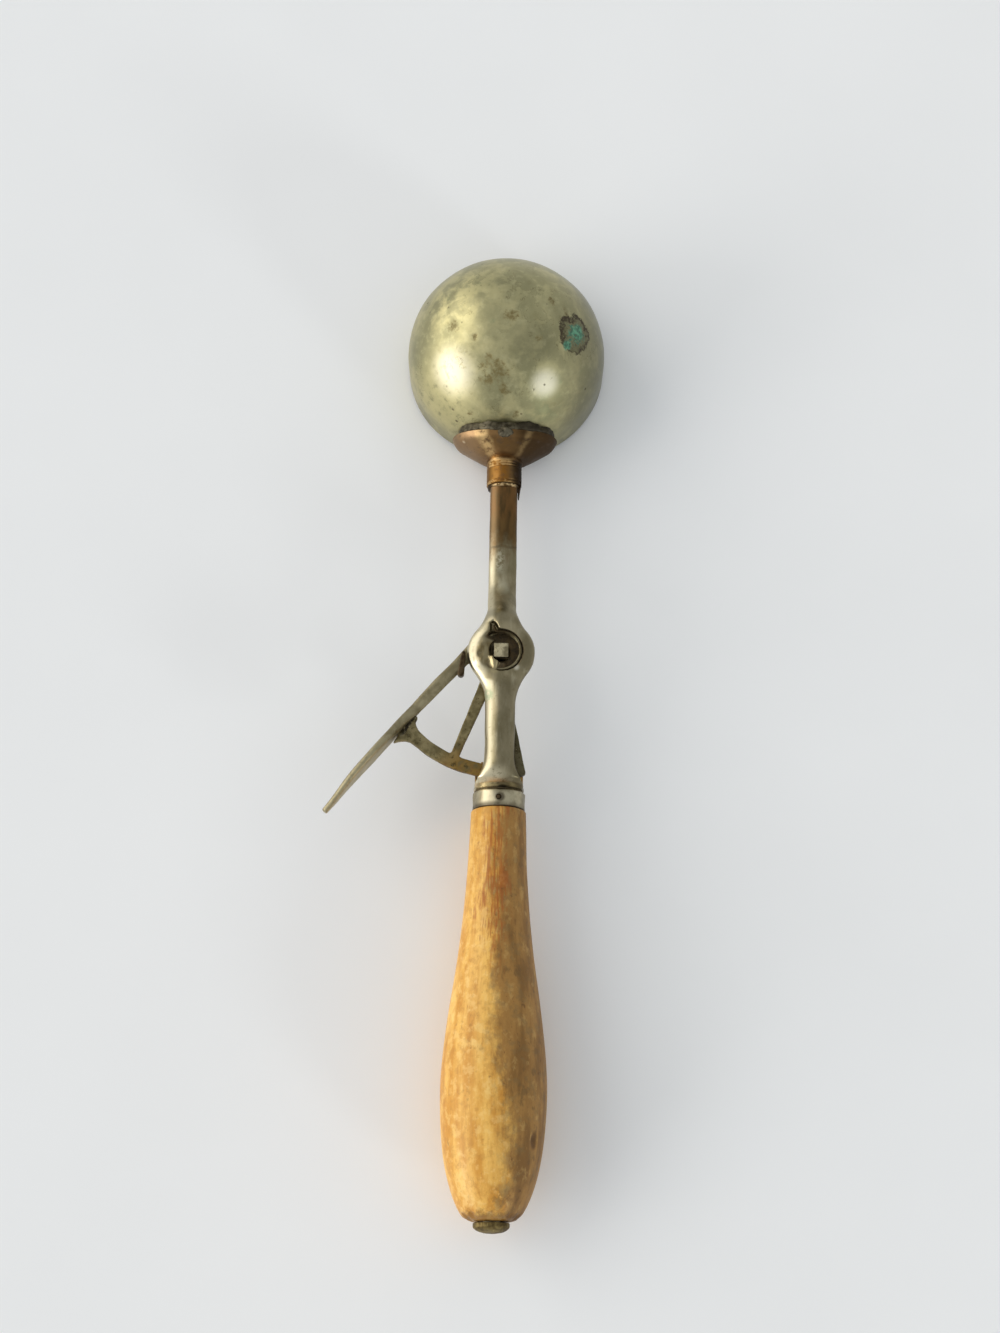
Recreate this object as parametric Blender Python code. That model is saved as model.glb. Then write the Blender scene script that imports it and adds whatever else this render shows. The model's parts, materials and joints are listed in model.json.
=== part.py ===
# Vintage ice cream scoop with a thumb lever, a gear train and a wiper in the bowl.
#
# The tool is built in its own frame: the shaft runs along Y with the bowl at +Y, the bowl's
# dome and the lever's front look towards +Z, and the lever turns about Z through the origin.
# At the end the whole tool is laid down on its bowl rim and its handle.

import math

import bmesh
import bpy
from mathutils import Matrix, Vector

MM = 0.001

# Clearances
GAP = 0.3 * MM            # between pieces that touch
RUN = 0.4 * MM            # between pieces that move past each other
EDGE = 0.3 * MM           # broken edges of turned pieces
CUT = 1.0 * MM            # how far a cutter runs past what it cuts
SUNK = 0.5 * MM           # how far two forms of one solid reach into each other

# Bowl
BOWL_R = 28.75 * MM       # outside radius of the dome
BOWL_WALL = 0.9 * MM
RIM_DROP = 9.0 * MM       # straight skirt under the dome, from the shaft's axis to the rim

# Flared socket that carries the bowl
NECK_START = 53.4 * MM    # pivot to the lower end of the neck
NECK_R = 5.05 * MM
NECK_LEN = 6.8 * MM
NECK_SEAT = 6.0 * MM      # how deep the shank goes into the neck
FLARE_LEN = 6.7 * MM
FLARE_R = 15.2 * MM
FLARE_EDGE = 1.3 * MM     # thickness of the flare's rim
FLARE_PRESS = 0.17        # how much the flare is pressed flatter from front to back
FLARE_DIP = 1.2 * MM      # how far its front edge hangs back from the bowl
SEAT_RISE = 3.1 * MM      # from the flare's rim up to the dome
RIM_FILLET = 0.6 * MM     # how far the solder stands out past the flare
SOLDER_END = 7.0 * MM     # how far under the axis the solder runs
NECK_TONGUE = 3.4 * MM    # the lip that runs down the shank's right side
TONGUE_W = 1.6 * MM
TONGUE_TIP = 0.4 * MM     # how thick the lip is at its end
NECK_BEAD = 0.7 * MM

# Cast frame: shank, eye cup, bar and foot
SHANK_R_TOP = 3.7 * MM
SHANK_R = 4.0 * MM
SHANK_TAPER_END = 19.6 * MM
NECK_FILLET_R = 12.0 * MM
EYE_R = 9.5 * MM
CUP_R = 6.1 * MM
CUP_FLOOR = 1.0 * MM
BAR_FILLET_R = 15.0 * MM
BAR_HALF = 4.2 * MM
BAR_T = 4.5 * MM
FOOT_R = 7.0 * MM
FOOT_T = 1.6 * MM
FOOT_FLARE_R = 10.9 * MM
FOOT_FLARE_LEN = 7.9 * MM
FOOT_BEND_R = 6.2 * MM
FOOT_BOSS_R = 4.2 * MM
FOOT_BOSS_LEN = 3.4 * MM
BARREL_END = 12.2 * MM    # where the shank's barrel stops behind the eye
BARREL_INSET = 0.15 * MM  # keeps a round form's wall under the skin that it joins
RISE_START = 23.5 * MM    # where the shank starts to swell forward
RISE_END = 8.5 * MM
BACK_LAG = 2.5 * MM       # the back starts to rise this much nearer the eye
STATION = 1.4 * MM        # between sections where the shape turns

# Gear train
PINION_TEETH = 12
SECTOR_TEETH_ROUND = 70   # teeth that the sector would have as a full wheel
SECTOR_R = 33.75 * MM     # pitch radius
SECTOR_W = 3.7 * MM
SECTOR_T = 1.8 * MM
FIRST_TOOTH = -1
LAST_TOOTH = 7
BACKLASH = 0.4 * MM
ADDENDUM = 1.1 * MM
DEDENDUM = 1.2 * MM
RACK_DIP = 0.65 * MM      # how far the sector's teeth reach past the pitch line
RACK_SLOPE = math.radians(20)
TOOTH_INSET = 0.8 * MM    # the teeth stop short of the sector's outer edge
TOOTH_SUNK = 0.2 * MM
PINION_LEN = 5.7 * MM
PINION_HUB_R = 3.9 * MM
PINION_HUB_LEN = 3.0 * MM
FOOT_CLEAR = 0.6 * MM     # sector's edge to the foot

# Spokes, as angles from the handle's direction, positive towards the lever
MID_SPOKE_HUB = math.radians(26.0)
MID_SPOKE_RIM = math.radians(22.8)
MID_SPOKE_W_HUB = 3.5 * MM
MID_SPOKE_W_RIM = 2.3 * MM
RIGHT_EDGE = math.radians(-12.1)
RIGHT_SPOKE_W = 2.6 * MM
SPOKE_FILLET = 1.2 * MM
INNER_FLARE = 1.9 * MM    # how far the arc runs out along the lever towards the hub
OUTER_FLARE = 4.0 * MM    # and towards the thumb pad
FLARE_TURN = math.radians(8)

# Thumb lever
LEVER_ANGLE = math.radians(39.6)   # upper edge's direction, from the handle's
LEVER_OFFSET = 9.0 * MM            # upper edge's distance from the pivot, the hub's radius too
LEVER_LEN = 66.0 * MM
LEVER_BOW = 0.45 * MM              # how far the upper edge bows out between hub and tip
LEVER_DROOP = 0.5 * MM             # how far the tip bends down
ARM_T_ROOT = 4.1 * MM
ARM_T_BRAZE = 2.5 * MM
PAD_T_TIP = 1.7 * MM
BRAZE_AT = 30.0 * MM
ARM_INSET = 0.1 * MM               # the arm's sides lie this much under the hub's faces
PAD_START = 27.0 * MM
PAD_HALF = 7.0 * MM
PAD_BLUNT = 1.6 * MM               # the pad would run to a point this much past its tip
PAD_LEAN_LEN = 12.0 * MM
PAD_LEAN = math.radians(6)

# Pivot stud, its washer, the stop lug and the spring
STUD_R = 2.0 * MM
STUD_SQUARE = 4.0 * MM
STUD_SUNK = 0.6 * MM      # its square end's depth under the eye's front
STUD_HEAD_R = 4.0 * MM
STUD_HEAD_T = 1.2 * MM
WASHER_R = 5.0 * MM
WASHER_T = 0.6 * MM
LUG_HALF = 1.15 * MM
LUG_TOP = 0.3 * MM
LUG_TIP = -7.5 * MM
LUG_T = 2.5 * MM
SPRING_WIRE_R = 0.4 * MM
SPRING_TURNS = 1.75
SPRING_PITCH = 1.25 * MM
SPRING_BEND_R = 1.0 * MM
SPRING_BEND_TURN = math.radians(9)  # where the coil starts to bend into its tail
SPRING_TAIL = 7.5 * MM    # radius that the outer tail reaches, in its hole in the rim
SPRING_POINTS = 10        # points on one curl
NOTCH_R = 0.9 * MM

# Shaft and wiper
SHAFT_R = 2.0 * MM
TENON_R = 1.3 * MM
PIN_R = 0.6 * MM
COLLAR_PIN_R = 0.4 * MM
COLLAR_R = 3.5 * MM
COLLAR_T = 1.8 * MM
WIPER_T = 0.7 * MM
WIPER_HALF = 4.4 * MM
WIPER_HALF_END = 2.3 * MM
WIPER_REST = math.radians(10)      # wiper's middle above the shaft's level
WIPER_NUT_R = 2.5 * MM
WIPER_NUT_T = 1.1 * MM
RIVET_R = 1.2 * MM
RIVET_HEAD_R = 2.6 * MM
RIVET_HEAD_T = 0.8 * MM

# Handle
FERRULE_R = 7.25 * MM
FERRULE_WALL = 0.55 * MM
FERRULE_LEN = 4.9 * MM
GRIP_NECK_R = 7.7 * MM
GRIP_BELLY_R = 14.45 * MM
GRIP_BELLY_AT = 77.0 * MM          # shoulder to the belly's widest place
GRIP_LEN = 112.1 * MM
GRIP_TIP_R = 6.7 * MM              # at the end, under the cap
GRIP_END_BLUNT = 2.25
NAIL_PROUD = 0.1 * MM
ROD_R = 2.5 * MM
CAP_R = 4.95 * MM
CAP_LEN = 2.8 * MM
CAP_EDGE = 0.9 * MM

# How finely round things are built
FINE_STEPS = 48
MEDIUM_STEPS = 32
SMALL_STEPS = 20

# Places along the tool, each from what it fits
PINION_R = SECTOR_R * PINION_TEETH / SECTOR_TEETH_ROUND
PINION_TIP_R = PINION_R + ADDENDUM
PINION_ROOT_R = PINION_R - DEDENDUM
SECTOR_IN = SECTOR_R - SECTOR_W / 2
SECTOR_OUT = SECTOR_R + SECTOR_W / 2
SECTOR_Z = PINION_TIP_R + RUN
HUB_Z = SECTOR_Z + SECTOR_T
FRAME_BACK = HUB_Z + GAP
FRAME_FRONT = FRAME_BACK + BAR_T
CUP_Z = FRAME_BACK + CUP_FLOOR
HUB_R = LEVER_OFFSET
FOOT_TOP = -(SECTOR_OUT + FOOT_CLEAR)
FOOT_END = FOOT_TOP - FOOT_T
PINION_BOTTOM = FOOT_TOP + GAP
PINION_TOP = PINION_BOTTOM + PINION_LEN
SHAFT_BORE_R = SHAFT_R + GAP
TENON_BORE_R = TENON_R + GAP
SHANK_TOP = NECK_START + NECK_SEAT
FLARE_START = NECK_START + NECK_LEN
FLARE_TOP = FLARE_START + FLARE_LEN
BOWL_SEAT_R = BOWL_R + GAP
BOWL_IN_R = BOWL_R - BOWL_WALL
BOWL_Y = FLARE_TOP + SEAT_RISE + math.sqrt(BOWL_R ** 2 - FLARE_R ** 2)
WIPER_OUT_R = BOWL_IN_R - RUN
WIPER_IN_R = WIPER_OUT_R - WIPER_T
FERRULE_TOP = FOOT_END - GAP
FERRULE_END = FERRULE_TOP - FERRULE_LEN
GRIP_TOP = FERRULE_END - GAP
GRIP_END = GRIP_TOP - GRIP_LEN
CAP_TOP = GRIP_END - GAP
BOSS_END = FOOT_END - FOOT_BOSS_LEN
BOSS_BORE_R = ROD_R + GAP
TENON_DEPTH = 1.2 * MM


def material(name, colour, roughness, metallic):
    """A plain finish for one sub-part."""
    mat = bpy.data.materials.new(name)
    mat.use_nodes = True
    shader = mat.node_tree.nodes["Principled BSDF"]
    shader.inputs["Base Color"].default_value = (*colour, 1.0)
    shader.inputs["Roughness"].default_value = roughness
    shader.inputs["Metallic"].default_value = metallic
    return mat


def empty(name, parent=None):
    guide = bpy.data.objects.new(name, None)
    guide.empty_display_size = 20 * MM
    guide.parent = parent
    bpy.context.scene.collection.objects.link(guide)
    return guide


def add_mesh(name, bm, parent, sharp=math.radians(35)):
    """Turn a bmesh into a smooth-shaded object under its parent."""
    bmesh.ops.recalc_face_normals(bm, faces=bm.faces[:])
    mesh = bpy.data.meshes.new(name)
    bm.to_mesh(mesh)
    bm.free()
    mesh.shade_smooth()
    mesh.set_sharp_from_angle(angle=sharp)
    obj = bpy.data.objects.new(name, mesh)
    obj.parent = parent
    bpy.context.scene.collection.objects.link(obj)
    return obj


def turned(name, outline, parent, steps=MEDIUM_STEPS):
    """Turn a closed outline of (radius, y) about the Y axis into a solid."""
    bm = bmesh.new()
    verts = [bm.verts.new((r, y, 0)) for r, y in outline]
    edges = []
    for i, vert in enumerate(verts):
        after = verts[(i + 1) % len(verts)]
        if vert.co.x > 0 or after.co.x > 0:
            edges.append(bm.edges.new((vert, after)))
    bmesh.ops.spin(
        bm, geom=verts + edges, cent=(0, 0, 0), axis=(0, 1, 0), angle=math.tau, steps=steps, use_merge=True)
    bmesh.ops.remove_doubles(bm, verts=bm.verts[:], dist=0.001 * MM)
    return add_mesh(name, bm, parent)


def upright(obj):
    """Stand a turned piece's axis up along +Z."""
    obj.data.transform(Matrix.Rotation(math.pi / 2, 4, "X"))
    return obj


def rod(name, radius, start, end, parent, steps=SMALL_STEPS):
    """A plain cylinder along Y."""
    return turned(name, [(0, start), (radius, start), (radius, end), (0, end)], parent, steps)


def tube(name, inner, outer, start, end, parent, steps=MEDIUM_STEPS):
    """A plain ring along Y."""
    return turned(name, [(inner, start), (outer, start), (outer, end), (inner, end)], parent, steps)


def plate(name, outline, low, high, parent):
    """A flat piece: a closed outline of (x, y) between two heights."""
    bm = bmesh.new()
    face = bm.faces.new([bm.verts.new((x, y, low)) for x, y in outline])
    moved = bmesh.ops.extrude_face_region(bm, geom=[face])
    top = [item for item in moved["geom"] if isinstance(item, bmesh.types.BMVert)]
    bmesh.ops.translate(bm, verts=top, vec=(0, 0, high - low))
    return add_mesh(name, bm, parent)


def box(name, low, high, parent):
    outline = [(low[0], low[1]), (high[0], low[1]), (high[0], high[1]), (low[0], high[1])]
    return plate(name, outline, low[2], high[2], parent)


def skinned(name, rings, parent):
    """A solid through rings of points, closed at both ends."""
    bm = bmesh.new()
    loops = [[bm.verts.new(point) for point in ring] for ring in rings]
    count = len(loops[0])
    for one, two in zip(loops, loops[1:]):
        for i in range(count):
            j = (i + 1) % count
            bm.faces.new((one[i], one[j], two[j], two[i]))
    bm.faces.new(loops[0])
    bm.faces.new(loops[-1])
    return add_mesh(name, bm, parent)


def combine(obj, other, operation):
    """Join, cut or trim a piece with a guide that the build leaves out."""
    other.hide_render = True
    other.display_type = "WIRE"
    step = obj.modifiers.new(other.name, "BOOLEAN")
    step.operation = operation
    step.object = other
    step.solver = "EXACT"


def arc(centre, radius, start, end, count):
    """Points on an arc, in degrees from the first axis, with both ends."""
    points = []
    for i in range(count + 1):
        angle = math.radians(start + (end - start) * i / count)
        points.append((centre[0] + radius * math.cos(angle), centre[1] + radius * math.sin(angle)))
    return points


def smooth(value, start, end):
    """Rises from 0 to 1 between start and end with level ends."""
    share = min(max((value - start) / (end - start), 0.0), 1.0)
    return share * share * (3 - 2 * share)


def round_corners(corners, count=4):
    """An outline from (x, y, radius) corners, each turned with an arc."""
    outline = []
    for i, (x, y, radius) in enumerate(corners):
        here = Vector((x, y))
        if radius == 0:
            outline.append(tuple(here))
            continue
        before = Vector(corners[i - 1][:2]) - here
        after = Vector(corners[(i + 1) % len(corners)][:2]) - here
        half = before.angle(after) / 2
        reach = radius / math.tan(half)
        reach = min(reach, 0.45 * before.length, 0.45 * after.length)
        radius = reach * math.tan(half)
        centre = here + (before.normalized() + after.normalized()).normalized() * radius / math.sin(half)
        first = here + before.normalized() * reach - centre
        last = here + after.normalized() * reach - centre
        turn = first.angle_signed(last)
        for k in range(count + 1):
            spoke = first.copy()
            spoke.rotate(Matrix.Rotation(-turn * k / count, 2))
            outline.append(tuple(centre + spoke))
    return outline


def polar(radius, angle):
    """A place by its distance from the pivot and its angle from the handle, towards the lever."""
    return (-radius * math.sin(angle), -radius * math.cos(angle))


# Bowl: a spun dome on a short straight skirt, with a hole at each end of the axis

def dome(radius):
    """Half outline of the skirt and the dome as (distance from the middle, height)."""
    outline = [(radius, -RIM_DROP)] + arc((0, 0), radius, 0, 90, 12)
    outline[-1] = (0, radius)
    return outline


def bowl_space(name, tool):
    """The room that the bowl needs, to cut what is fitted against its outside."""
    outline = [(0, -2 * RIM_DROP), (BOWL_SEAT_R, -2 * RIM_DROP)] + dome(BOWL_SEAT_R)[1:]
    space = upright(turned(name, outline, tool, FINE_STEPS))
    space.location = (0, BOWL_Y, 0)
    return space


def build_bowl(tool):
    outside = dome(BOWL_R)
    inside = dome(BOWL_IN_R)
    bowl = upright(turned("bowl", outside + inside[::-1], tool, FINE_STEPS))
    bowl.location = (0, BOWL_Y, 0)
    near = rod("bowl_shaft_hole", SHAFT_BORE_R + GAP, BOWL_Y - BOWL_R - CUT, BOWL_Y - BOWL_R * 0.8, tool)
    far = rod("bowl_rivet_hole", RIVET_R + GAP, BOWL_Y + BOWL_R * 0.8, BOWL_Y + BOWL_R + CUT, tool)
    combine(bowl, near, "DIFFERENCE")
    combine(bowl, far, "DIFFERENCE")
    bowl.data.materials.append(material("bowl_nickel", (0.62, 0.57, 0.43), 0.3, 1.0))


def build_rivet(tool):
    inner = BOWL_Y + WIPER_IN_R - GAP
    outer = BOWL_Y + BOWL_R + GAP
    outline = [(0, inner - RIVET_HEAD_T), (RIVET_HEAD_R - GAP, inner - RIVET_HEAD_T)]
    outline += [(RIVET_HEAD_R, inner), (RIVET_R, inner), (RIVET_R, outer), (RIVET_HEAD_R, outer)]
    outline += [(RIVET_HEAD_R * 0.8, outer + RIVET_HEAD_T * 0.6)]
    outline += [(RIVET_HEAD_R * 0.4, outer + RIVET_HEAD_T * 0.93), (0, outer + RIVET_HEAD_T)]
    rivet = turned("far_rivet", outline, tool, SMALL_STEPS)
    rivet.data.materials.append(material("rivet_brass", (0.55, 0.42, 0.2), 0.35, 1.0))


# Flared socket: neck on the shank, cone, rim, and a seat that follows the dome

def press_flare(piece):
    """Press the flare's round rim to an oval whose front edge hangs back a little."""
    for vert in piece.data.vertices:
        share = smooth(math.hypot(vert.co.x, vert.co.z), NECK_R, FLARE_R)
        front = max(vert.co.z, 0) / FLARE_R
        vert.co.y -= FLARE_DIP * share * front ** 2
        vert.co.z *= 1 - FLARE_PRESS * share


def build_socket(tool):
    bore = SHANK_R_TOP + GAP
    edge_top = FLARE_TOP + FLARE_EDGE
    shaft_bore = SHAFT_BORE_R + GAP
    outline = [(bore, NECK_START), (NECK_R, NECK_START), (NECK_R, FLARE_START)]
    outline += [(FLARE_R, FLARE_TOP), (FLARE_R, edge_top), (shaft_bore, edge_top)]
    outline += [(shaft_bore, SHANK_TOP + GAP), (bore, SHANK_TOP + GAP)]
    socket = turned("bowl_socket", outline, tool, FINE_STEPS)
    press_flare(socket)
    combine(socket, bowl_space("socket_seat", tool), "DIFFERENCE")
    trim = box("socket_trim", (-2 * FLARE_R, FLARE_START, -2 * FLARE_R),
               (2 * FLARE_R, BOWL_Y, -RIM_DROP), tool)
    combine(socket, trim, "DIFFERENCE")
    tip = NECK_START - NECK_TONGUE
    root = NECK_START + NECK_TONGUE / 3
    side = [(bore, tip), (bore + TONGUE_TIP, tip)]
    side += [(NECK_R - 2 * TONGUE_TIP / 3, NECK_START - NECK_TONGUE / 3)]
    side += [(NECK_R - TONGUE_TIP / 3, root), (bore, root)]
    tongue = plate("socket_tongue", side, -TONGUE_W, TONGUE_W, tool)
    combine(socket, tongue, "UNION")
    socket.data.materials.append(material("socket_brass", (0.5, 0.33, 0.13), 0.35, 1.0))


def build_rim_solder(tool):
    """The ring of solder in the corner between the flare's rim and the dome."""
    base = FLARE_TOP + FLARE_EDGE + GAP
    outer = FLARE_R + RIM_FILLET
    inner = FLARE_R * 0.8
    top = BOWL_Y - math.sqrt(BOWL_R ** 2 - outer ** 2)
    outline = [(inner, base), (FLARE_R, base), (outer, base + RIM_FILLET), (outer, top), (inner, top)]
    ring = turned("rim_solder", outline, tool, FINE_STEPS)
    press_flare(ring)
    trim = box("solder_trim", (-2 * FLARE_R, FLARE_START, -2 * FLARE_R),
               (2 * FLARE_R, BOWL_Y, -SOLDER_END), tool)
    combine(ring, bowl_space("solder_seat", tool), "DIFFERENCE")
    combine(ring, trim, "DIFFERENCE")
    ring.data.materials.append(material("solder_grey", (0.34, 0.33, 0.29), 0.5, 0.9))


def build_neck_solder(tool):
    """The bead of solder under the neck, open where the tongue runs down."""
    top = NECK_START - GAP
    inner = SHANK_R_TOP + GAP
    outer = NECK_R - EDGE
    outline = [(inner, top - NECK_BEAD), (inner + EDGE, top - NECK_BEAD)]
    outline += [(outer, top - EDGE), (outer, top), (inner, top)]
    bead = turned("neck_solder", outline, tool)
    gap = box("bead_gap", (0, top - 2 * NECK_BEAD, -TONGUE_W - GAP),
              (2 * NECK_R, top + NECK_BEAD, TONGUE_W + GAP), tool)
    combine(bead, gap, "DIFFERENCE")
    bead.data.materials.append(material("bead_silver", (0.6, 0.56, 0.45), 0.4, 1.0))


# Frame: one casting, skinned through sections across the tool

def fillet_span(side, radius):
    """Where a fillet between the eye's disc and a straight side leaves the disc and meets the side."""
    along = math.sqrt((EYE_R + radius) ** 2 - (side + radius) ** 2)
    return along * EYE_R / (EYE_R + radius), along


def frame_half_width(y):
    upper_disc, upper_end = fillet_span(SHANK_R, NECK_FILLET_R)
    lower_disc, lower_end = fillet_span(BAR_HALF, BAR_FILLET_R)
    flare_start = FOOT_END + FOOT_FLARE_LEN
    if y >= SHANK_TAPER_END:
        share = (y - SHANK_TAPER_END) / (SHANK_TOP - SHANK_TAPER_END)
        return SHANK_R + (SHANK_R_TOP - SHANK_R) * share
    if y >= upper_end:
        return SHANK_R
    if y >= upper_disc:
        return SHANK_R + NECK_FILLET_R - math.sqrt(NECK_FILLET_R ** 2 - (upper_end - y) ** 2)
    if y >= -lower_disc:
        return math.sqrt(EYE_R ** 2 - y ** 2)
    if y >= -lower_end:
        return BAR_HALF + BAR_FILLET_R - math.sqrt(BAR_FILLET_R ** 2 - (y + lower_end) ** 2)
    if y >= flare_start:
        return BAR_HALF
    flared = BAR_HALF + FOOT_FLARE_R - math.sqrt(FOOT_FLARE_R ** 2 - (flare_start - y) ** 2)
    return min(flared, FOOT_R - BARREL_INSET)


def frame_front(y):
    side = frame_half_width(max(y, RISE_START))
    rise = smooth(y, RISE_START, RISE_END)
    front = side + (FRAME_FRONT - side) * rise
    bend = FOOT_END + FOOT_BEND_R
    if y < bend:
        front -= FOOT_BEND_R - math.sqrt(max(FOOT_BEND_R ** 2 - (bend - y) ** 2, 0))
    return front


def frame_back(y):
    side = frame_half_width(max(y, RISE_START))
    start = RISE_START - BACK_LAG
    end = HUB_R + GAP + RUN
    back = -side + (FRAME_BACK + side) * smooth(y, start, end)
    if y < FOOT_TOP:
        back = 0.0
    return back


def frame_section(y):
    """A rounded section: round on the shank, flat-backed and round-fronted on the eye and bar."""
    half, front, back = frame_half_width(y), frame_front(y), frame_back(y)
    shaped = smooth(y, RISE_START, RISE_END)
    widening = (half - BAR_HALF) / (EYE_R - BAR_HALF)
    front_power = 2 + shaped * (0.5 + 1.5 * max(widening, 0))
    back_power = 2 + shaped * 4
    waist = front - (front - max(back, front - BAR_T)) / 2 if y < 0 else (front + back) / 2
    ring = []
    count = 20
    for i in range(count):
        angle = math.tau * (i + 0.5) / count
        across, up = math.cos(angle), math.sin(angle)
        power = front_power if up > 0 else back_power
        reach = front - waist if up > 0 else waist - back
        x = half * math.copysign(abs(across) ** (2 / power), across)
        z = waist + reach * math.copysign(abs(up) ** (2 / power), up)
        ring.append((x, y, z))
    return ring


def frame_stations():
    """Where sections are taken: close together where the shape turns."""
    stations = [SHANK_TOP, SHANK_TAPER_END * 2, RISE_START + STATION]
    y = RISE_START
    while y > -fillet_span(BAR_HALF, BAR_FILLET_R)[1] - STATION / 2:
        stations.append(y)
        y -= STATION
    stations += [FOOT_END + FOOT_FLARE_LEN * share for share in (1.5, 1, 0.78, 0.58, 0.4)]
    stations += [FOOT_END + FOOT_T * share for share in (1, 0.9, 0.55, 0.2, 0)]
    return stations


def build_frame(tool):
    frame = skinned("frame", [frame_section(y) for y in frame_stations()], tool)
    barrel = rod("frame_barrel", SHANK_R - BARREL_INSET, BARREL_END, RISE_START + 2 * CUT, tool, MEDIUM_STEPS)
    foot = turned("frame_foot", [
        (0, FOOT_TOP), (FOOT_R - EDGE, FOOT_TOP), (FOOT_R, FOOT_TOP - EDGE), (FOOT_R, FOOT_END),
        (FOOT_BOSS_R, FOOT_END), (FOOT_BOSS_R, BOSS_END), (0, BOSS_END)], tool)
    combine(frame, barrel, "UNION")
    combine(frame, foot, "UNION")
    shaft_bore = rod("frame_shaft_bore", SHAFT_BORE_R, HUB_R, SHANK_TOP + CUT, tool)
    tenon_bore = rod("frame_tenon_bore", TENON_BORE_R, FOOT_TOP - TENON_DEPTH - GAP, FOOT_TOP + CUT, tool)
    rod_bore = rod("frame_rod_bore", BOSS_BORE_R, BOSS_END - CUT, BOSS_END + FOOT_BOSS_LEN - GAP, tool)
    cup = upright(rod("frame_cup", CUP_R, CUP_Z, FRAME_FRONT + 2 * CUT, tool, MEDIUM_STEPS))
    stud_bore = upright(rod("frame_stud_bore", STUD_R + GAP, FRAME_BACK - CUT, CUP_Z + CUT, tool))
    for cutter in (shaft_bore, tenon_bore, rod_bore, cup, stud_bore):
        combine(frame, cutter, "DIFFERENCE")
    angle = spring_tail_angle()
    reach = SPRING_TAIL + SPRING_WIRE_R
    middle = (reach * math.cos(angle), reach * math.sin(angle))
    side = (NOTCH_R * math.cos(angle + math.pi / 2), NOTCH_R * math.sin(angle + math.pi / 2))
    start = (CUP_R * 0.8 * math.cos(angle), CUP_R * 0.8 * math.sin(angle))
    outline = [(start[0] - side[0], start[1] - side[1])]
    outline += arc(middle, NOTCH_R, math.degrees(angle) - 90, math.degrees(angle) + 90, 8)
    outline += [(start[0] + side[0], start[1] + side[1])]
    notch_floor = spring_top() - SPRING_WIRE_R - GAP
    notch = plate("frame_spring_notch", outline, notch_floor, FRAME_FRONT + 2 * CUT, tool)
    combine(frame, notch, "DIFFERENCE")
    frame.data.materials.append(material("frame_nickel", (0.52, 0.47, 0.33), 0.38, 1.0))


# Return spring: wire coiled round the square stud, one tail in the rim of the cup

def spring_coil_radius():
    return CUP_R - GAP - SPRING_WIRE_R


def spring_low():
    return CUP_Z + GAP + SPRING_WIRE_R


def spring_top():
    return spring_low() + SPRING_TURNS * SPRING_PITCH


def spring_tail_angle():
    return math.radians(107)


def spring_path():
    """Inner tang, coil and outer tail as one run of points about the pivot."""
    coil = spring_coil_radius()
    tail_at = spring_tail_angle()
    bend = SPRING_BEND_R
    lean = bend / (coil - bend)
    corner_r = math.sqrt((coil - bend) ** 2 - bend ** 2)
    start_at = tail_at - math.tau * SPRING_TURNS
    tang_tip = STUD_SQUARE / math.sqrt(2) + GAP + SPRING_WIRE_R
    points = []

    def put(radius, angle, z):
        points.append(Vector((radius * math.cos(angle), radius * math.sin(angle), z)))

    inward = start_at - math.asin(lean)
    put(tang_tip - EDGE, inward, spring_low())
    put(corner_r, inward, spring_low())
    put(coil - 0.35 * bend, start_at - 0.45 * math.asin(lean), spring_low())
    count = round(SPRING_TURNS * SPRING_POINTS)
    for i in range(count + 1):
        share = i / count
        height = spring_low() + (spring_top() - spring_low()) * share
        put(coil, start_at + (tail_at - SPRING_BEND_TURN - start_at) * share, height)
    put(coil + 0.35 * bend, tail_at - 0.03, spring_top())
    put(coil + bend, tail_at, spring_top())
    put(SPRING_TAIL, tail_at, spring_top())
    return points


def least_gap(points, skip):
    """Least distance between the wire's surfaces, measured on points filled in along the path."""
    dense = []
    for one, two in zip(points, points[1:]):
        for k in range(6):
            dense.append(one.lerp(two, k / 6))
    dense.append(points[-1])
    least = math.inf
    for i, point in enumerate(dense):
        for other in dense[i + skip:]:
            least = min(least, (point - other).length)
    return least - 2 * SPRING_WIRE_R


def build_spring(tool):
    points = spring_path()
    curve = bpy.data.curves.new("return_spring", "CURVE")
    curve.dimensions = "3D"
    curve.bevel_depth = SPRING_WIRE_R
    curve.bevel_resolution = 1
    curve.use_fill_caps = True
    line = curve.splines.new("POLY")
    line.points.add(len(points) - 1)
    for spot, point in zip(line.points, points):
        spot.co = (*point, 1.0)
    line.use_smooth = True
    spring = bpy.data.objects.new("return_spring", curve)
    spring.parent = tool
    bpy.context.scene.collection.objects.link(spring)
    curve.materials.append(material("spring_steel", (0.1, 0.09, 0.07), 0.45, 1.0))
    print("return spring, least gap to itself in mm:", round(least_gap(points, 3 * SPRING_POINTS) / MM, 3))


# Lever body: hub, arm and thumb pad in one casting, the toothed sector, stud, washer and stop lug

def lever_frame(along, off, z):
    """A place by its distance along the lever and its distance from the pivot, square to the lever."""
    ahead = Vector((-math.sin(LEVER_ANGLE), -math.cos(LEVER_ANGLE), 0))
    outward = Vector((-math.cos(LEVER_ANGLE), math.sin(LEVER_ANGLE), 0))
    return ahead * along + outward * off + Vector((0, 0, z))


def lever_thickness(along):
    if along < BRAZE_AT:
        return ARM_T_ROOT + (ARM_T_BRAZE - ARM_T_ROOT) * along / BRAZE_AT
    share = (along - BRAZE_AT) / (LEVER_LEN - BRAZE_AT)
    return ARM_T_BRAZE + (PAD_T_TIP - ARM_T_BRAZE) * share ** 0.7


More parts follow.
